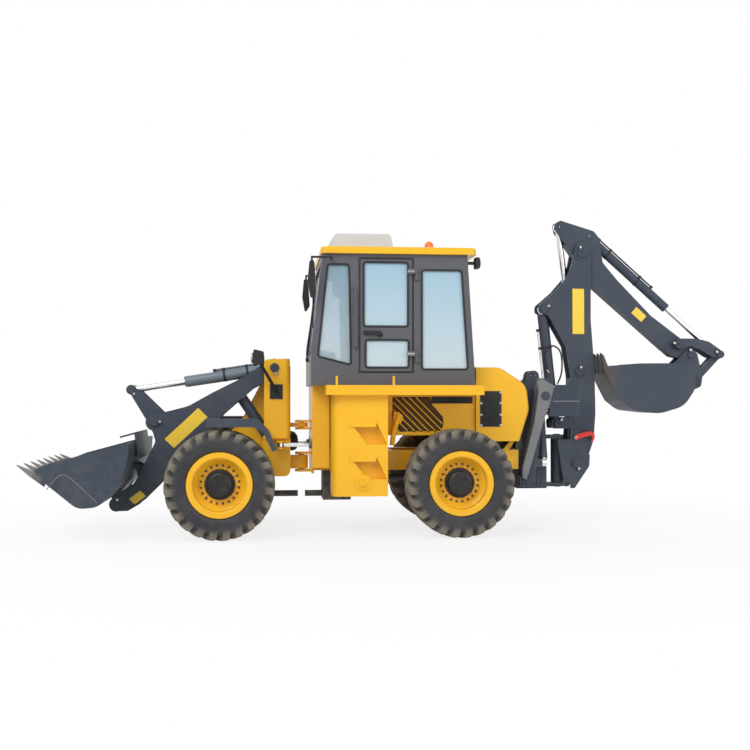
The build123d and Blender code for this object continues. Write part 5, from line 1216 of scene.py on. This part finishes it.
@dataclass
class StabiliserTrim:
    """Pale flange with a serrated edge and ribbed dark pad on each stabiliser's outer face."""

    face: float = 405.0
    pad_face: float = 448.0
    teeth: int = 9
    tooth_depth: float = 22.0
    flange: tuple[Flat, ...] = (
        (3346, 1190), (3150, 530), (3106, 549), (3110, 653), (3236, 1138), (3281, 1442), (3272, 1548),
        (3318, 1588), (3383, 1545))
    flange_edge: tuple[Flat, ...] = ((3440, 1516), (3350, 1200))
    pad: tuple[Flat, ...] = ((3382, 1190), (3462, 1521))
    pad_edge: tuple[Flat, ...] = ((3752, 1521), (3694, 1190))
    # ribs over the pad: how many, where their feet stand, their heights, and the bar across them
    ribs: int = 9
    rib_x: Flat = (3420, 3672)
    rib_z: Flat = (1205, 1512)
    bar_x: Flat = (3428, 3712)
    bar_z: float = 1348.0

    def _teeth(self, ends: Sequence[Flat]) -> list[Flat]:
        """Zigzag from the first end to the second, its points standing out towards positive X."""
        start, end = (np.array(e, dtype=float) for e in ends)
        share = np.linspace(0, 1, 2 * self.teeth + 1)[:, None]
        out = np.where(np.arange(2 * self.teeth + 1) % 2, self.tooth_depth, 0.0)[:, None]
        return [tuple(row) for row in start + (end - start) * share + out * np.array([[0.96, -0.28]])]

    def build(self, finishes: Finishes) -> None:
        """Make flange, pad and the pad's ribs; the right side's are mirrored."""
        flange_line = np.array([*self.flange, *self._teeth(self.flange_edge)]) / 1000
        flange = side_sheet(self.face).plate(flange_line, 0.049, 0.0015, -0.001)
        pad_line = np.array([*self.pad, *self._teeth(self.pad_edge)]) / 1000
        pad = side_sheet(self.pad_face).plate(pad_line, 0.006, 0.0015, -0.001)
        ribs = []
        for x in np.linspace(*self.rib_x, self.ribs):
            # the ribs lean back, less so towards the rear
            ends = ((x, self.rib_z[0]), (x + 66 - 0.2 * (x - 3400), self.rib_z[1]))
            ribs.append(tube(np.stack([drawn(a, -self.pad_face - 5, z) for a, z in ends]), 0.005, 8))
        bar = tube(np.stack([drawn(x, -self.pad_face - 8, self.bar_z) for x in self.bar_x]), 0.007, 10)
        pieces = (("flange", flange, "leg_grey"), ("pad", joined([pad, *ribs]), "frame_slate"),
                  ("pad_bar", bar, "leg_grey"))
        for name, shape, finish in pieces:
            new_piece(f"stabiliser_{name}_left", shape, finishes[finish], "stabiliser_left_body")
            new_piece(f"stabiliser_{name}_right", shape.mirrored(), finishes[finish],
                      "stabiliser_right_body")


@dataclass
class Louvres:
    """Slanted slots of the side panel: a dark ground of painted shade for the slots' depth, crossed by thin bars,
    and the filler pipe before it.
    """

    face: float = 488.0
    ground: tuple[Flat, ...] = (
        (1737, 1396), (2130, 1396), (2148, 1317), (2262, 1187), (2268, 1117), (2240, 1046), (1811, 1036),
        (1737, 1168))
    # bars at 45 degrees: how many, x + z of the first, what each next one adds, and the limits of z and x
    bars: int = 7
    first: float = 2938.0
    pitch: float = 72.0
    z_limits: Flat = (1044, 1390)
    x_limits: Flat = (1745, 2252)
    pipe: tuple[Point, ...] = ((1724, -560, 900), (1735, -560, 1000), (1760, -560, 1100), (1796, -560, 1196))

    def build(self, finishes: Finishes) -> None:
        """Make the painted-shade ground, its bars at 45 degrees and the pipe, on both sides."""
        # painted shade: a dark ground where the slots' shaded depth would show
        ground = side_sheet(self.face).plate(outline_mm(self.ground, 12, 4), 0.003, 0.001, -0.001)
        new_piece("louvre_ground", ground.both(), finishes["slot_brown"], "rear_machine")
        bars = []
        for index in range(self.bars):
            total = self.first + self.pitch * index
            top = max(total - self.z_limits[1], self.x_limits[0])
            foot = min(total - self.z_limits[0], self.x_limits[1])
            bars.append(tube(np.stack([drawn(x, -self.face - 3, total - x) for x in (top, foot)]), 0.006, 8))
        new_piece("louvre_bars", joined(bars).both(), finishes["machine_yellow"], "rear_machine")
        pipe = tube(eased([drawn(*place) for place in self.pipe], 24), 0.027, 24)
        ahead = np.array([0.35, 0.0, 0.937])
        foot = drawn(1789, -560, 1176)
        cap = tube(np.stack([foot, foot + ahead * 0.036]), 0.034, 24)
        new_piece("filler_pipe", pipe + cap, finishes["machine_yellow"], "rear_machine")


@dataclass
class Hydraulics:
    """Valve block and pipes at the hinge, and the pipes with their unions before the swing post."""

    # start x, end x, height, distance from the middle, radius: all in millimetres; then the finish
    rear: tuple[tuple[float, float, float, float, float, str], ...] = (
        (3262, 3404, 566, 232, 13, "hose_black"), (3262, 3404, 611, 214, 13, "hose_black"),
        (3262, 3404, 658, 236, 13, "hose_black"),
        (3262, 3404, 706, 222, 13, "hose_black"), (3262, 3404, 760, 236, 11, "hose_black"),
        (3310, 3378, 611, 214, 19, "bolt_zinc"),
        (3340, 3400, 566, 232, 18, "bolt_zinc"), (3300, 3356, 548, 262, 26, "brass"),
        (3336, 3388, 706, 222, 17, "bolt_zinc"))
    block: tuple[Flat, ...] = ((704, 852), (766, 852), (766, 1000), (704, 1000))
    spool_x: Flat = (720, 750)
    spool_z: tuple[float, ...] = (872, 908, 944, 980)
    hinge_y: Flat = (172, 194)
    hinge_route: tuple[Flat, ...] = ((700, 846), (756, 842), (772, 930), (758, 1014), (700, 1018))

    def build(self, finishes: Finishes) -> None:
        """Make the pipes of both sides and the block."""
        for finish in ("hose_black", "bolt_zinc", "brass"):
            found = [tube(np.stack([drawn(a, -y, z), drawn(b, -y, z)]), radius / 1000, 16)
                     for a, b, z, y, radius, kind in self.rear if kind == finish]
            new_piece(f"rear_pipes_{finish}", joined(found).both(), finishes[finish], "rear_machine")
        block = side_sheet(100).plate(outline_mm(self.block, 8, 4), 0.045, 0.003)
        places = [drawn(x, -145, z) for x in self.spool_x for z in self.spool_z]
        spools = bolt(0.013, 0.014).repeated(np.array(places))
        hoses = [tube(eased([drawn(x, -y, z) for x, z in self.hinge_route], 30), 0.011, 12)
                 for y in self.hinge_y]
        new_piece("hinge_valves", (block + spools).both(), finishes["trim_dark"], "front_machine")
        new_piece("hinge_pipes", joined(hoses).both(), finishes["hose_black"], "front_machine")


@dataclass
class Studio:
    """Floor, lamps, world and the camera at the photograph's place."""

    eye: Point = (-1.3043, -11.4966, 1.3866)
    heading: Point = (0.0978, 0.995, 0.021)
    focal: float = 51.77
    world_light: float = 0.5
    # name, place, size in metres, power in watts
    lamps: tuple[tuple[str, Point, float, float], ...] = (
        ("key_lamp", (-6.0, -9.0, 9.0), 7.0, 820.0), ("fill_lamp", (8.0, -9.0, 4.0), 8.0, 330.0),
        ("back_lamp", (1.0, 9.0, 8.0), 8.0, 330.0))

    def build(self) -> None:
        """Place everything that isn't the machine."""
        scene = bpy.context.scene
        scene.view_settings.view_transform = "Standard"
        self._camera(scene)
        self._world(scene)
        self._floor()
        for name, place, size, power in self.lamps:
            self._lamp(name, place, size, power)

    def _camera(self, scene: bpy.types.Scene) -> None:
        """The camera that frames the machine as the photograph does."""
        data = bpy.data.cameras.new("photo_camera")
        data.sensor_width = 36.0
        data.lens = self.focal
        data.clip_end = 200.0
        camera = bpy.data.objects.new("photo_camera", data)
        scene.collection.objects.link(camera)
        camera.location = self.eye
        camera.rotation_euler = Vector(self.heading).to_track_quat("-Z", "Y").to_euler()
        scene.camera = camera

    def _world(self, scene: bpy.types.Scene) -> None:
        """White to the camera, in mirrors and through glass; softer light on the machine."""
        world = bpy.data.worlds.new("studio")
        world.use_nodes = True
        graph = Graph(world.node_tree)
        background = graph.nodes["Background"]
        background.inputs["Color"].default_value = (1, 1, 1, 1)
        strength = graph.ramp(graph.seen_rays(), 0.0, 1.0, self.world_light, 1.0)
        graph.link(strength, background.inputs["Strength"])
        scene.world = world

    @staticmethod
    def _floor() -> None:
        """Plain pale floor just under the wheels: it keeps the shadow and turns white away from it."""
        half, level = 60.0, -0.001
        points = [[x * half, y * half, level] for x, y in ((-1, -1), (1, -1), (1, 1), (-1, 1))]
        mesh = bpy.data.meshes.new("floor")
        mesh.from_pydata(points, [], [[0, 1, 2, 3]])
        material, graph = new_material("floor_pale")
        shader = graph.nodes["Principled BSDF"]
        shader.inputs["Base Color"].default_value = (0.82, 0.82, 0.82, 1)
        shader.inputs["Roughness"].default_value = 0.95
        glow = graph.add("ShaderNodeEmission")
        both = graph.add("ShaderNodeMixShader")
        place = graph.add("ShaderNodeTexCoord").outputs["Object"]
        far = graph.add("ShaderNodeVectorMath")
        far.operation = "LENGTH"
        graph.link(place, far.inputs[0])
        away = graph.ramp(far.outputs["Value"], 1.5, 5.5, 0.8, 1.0)
        graph.link(graph.times(away, graph.seen_rays()), both.inputs[0])
        graph.link(shader.outputs[0], both.inputs[1])
        graph.link(glow.outputs[0], both.inputs[2])
        graph.link(both.outputs[0], graph.nodes["Material Output"].inputs["Surface"])
        mesh.materials.append(material)
        floor = bpy.data.objects.new("floor", mesh)
        bpy.context.scene.collection.objects.link(floor)

    @staticmethod
    def _lamp(name: str, place: Point, size: float, power: float) -> None:
        """Large soft lamp aimed at the machine's middle."""
        data = bpy.data.lights.new(name, "AREA")
        data.size = size
        data.energy = power
        lamp = bpy.data.objects.new(name, data)
        bpy.context.scene.collection.objects.link(lamp)
        lamp.location = place
        lamp.rotation_euler = (Vector((0.0, 0.0, 1.2)) - Vector(place)).to_track_quat("-Z", "Y").to_euler()


def dress_solids(finishes: Finishes) -> None:
    """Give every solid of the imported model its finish, by its material slot or its own entry."""
    slots = {part["node"]: part["material_slot"] for part in frame["record"]["subparts"]}
    for node, solid in frame["nodes"].items():
        material = finishes[NODE_FINISH.get(node, SLOT_FINISH[slots[node]])]
        if not solid.material_slots:
            solid.data.materials.append(material)
        for place in solid.material_slots:
            place.material = material


def fasten_pins(finishes: Finishes) -> None:
    """Put the pins' ends and keeper bolts on their bodies, on both sides."""
    for body, ends in pin_table().items():
        heads, bolts = zip(*(end.shape() for end in ends))
        name = body.replace("_body", "")
        new_piece(f"pin_heads_{name}", joined(heads).both(), finishes["frame_slate"], body)
        new_piece(f"keeper_bolts_{name}", joined(bolts).both(), finishes["bolt_zinc"], body)


def pipes() -> tuple[RamPipe, ...]:
    """The pipes along the rams' barrels."""

    def spot(joint: str, y: float, dx: float = 0.0, dz: float = 0.0) -> Point:
        """Place of a joint in the drawing, moved by dx and dz, at y."""
        x, _, z = JOINT_AT[joint]
        return ((x - AXLE_X) * 1000 + dx, y, z * 1000 + dz)

    return (
        RamPipe("tilt_ram", "tilt_barrel_body", spot("lift", -140), spot("rocker_pivot", -140, -247, 333),
                55, (190, 620), (0.2, 0.0, 1.0), finish="ram_paint"),
        RamPipe("boom_ram", "boom_barrel_body", spot("boom", 0, -202, 433), spot("boom", 0, -334, 1667),
                58, (130, 1020), (-1.0, 0.0, 0.0), both_sides=False),
        RamPipe("stick_ram", "stick_barrel_body", spot("boom", 0, 49, 984), spot("stick", 0, -234, 288),
                55, (140, 900), (-1.0, 0.0, 0.0), both_sides=False),
        RamPipe("curl_ram", "curl_barrel_body", spot("stick", 0, 96, 196), spot("backhoe_curl", 0, 324, 7),
                50, (120, 900), (1.0, 0.0, 1.0), finish="hose_black", both_sides=False),
    )


# Loop of the hose beside the boom's ram, in the drawing's millimetres
BOOM_HOSE_ROUTE: tuple[Point, ...] = (
    (3486, -80, 1655), (3420, -82, 1740), (3425, -72, 1880), (3520, -66, 1965),
    (3622, -66, 1905), (3640, -66, 1740), (3620, -74, 1600), (3560, -80, 1500))


def main() -> None:
    """Dress the machine and light it."""
    logging.basicConfig(level=logging.INFO, format="%(name)s %(message)s")
    finishes = Finishes()
    Studio().build()
    Hose("boom_hose", "boom_barrel_body", BOOM_HOSE_ROUTE).build(finishes)
    dress_solids(finishes)
    for place in ("front", "rear"):
        for side in Side:
            wheel = f"{place}_{side.hand}"
            Tyre(f"tyre_{wheel}", f"wheel_{wheel}_body").build(finishes)
            Hub(f"rim_{wheel}", f"wheel_{wheel}_body", side).build(finishes)
    for assembly in (Cushions(), Windows(), DoorTrim(Side.LEFT), DoorTrim(Side.RIGHT), CabTrim(), Labels(),
                     Grilles(), RoofUnitTrim(), HeadlampLens(), BucketTrim(), StabiliserTrim(), Louvres(),
                     Hydraulics(), BackhoeTrim(), *pipes()):
        assembly.build(finishes)
        LOG.info("built %s", type(assembly).__name__)
    fasten_pins(finishes)


if __name__ == "__main__":
    main()
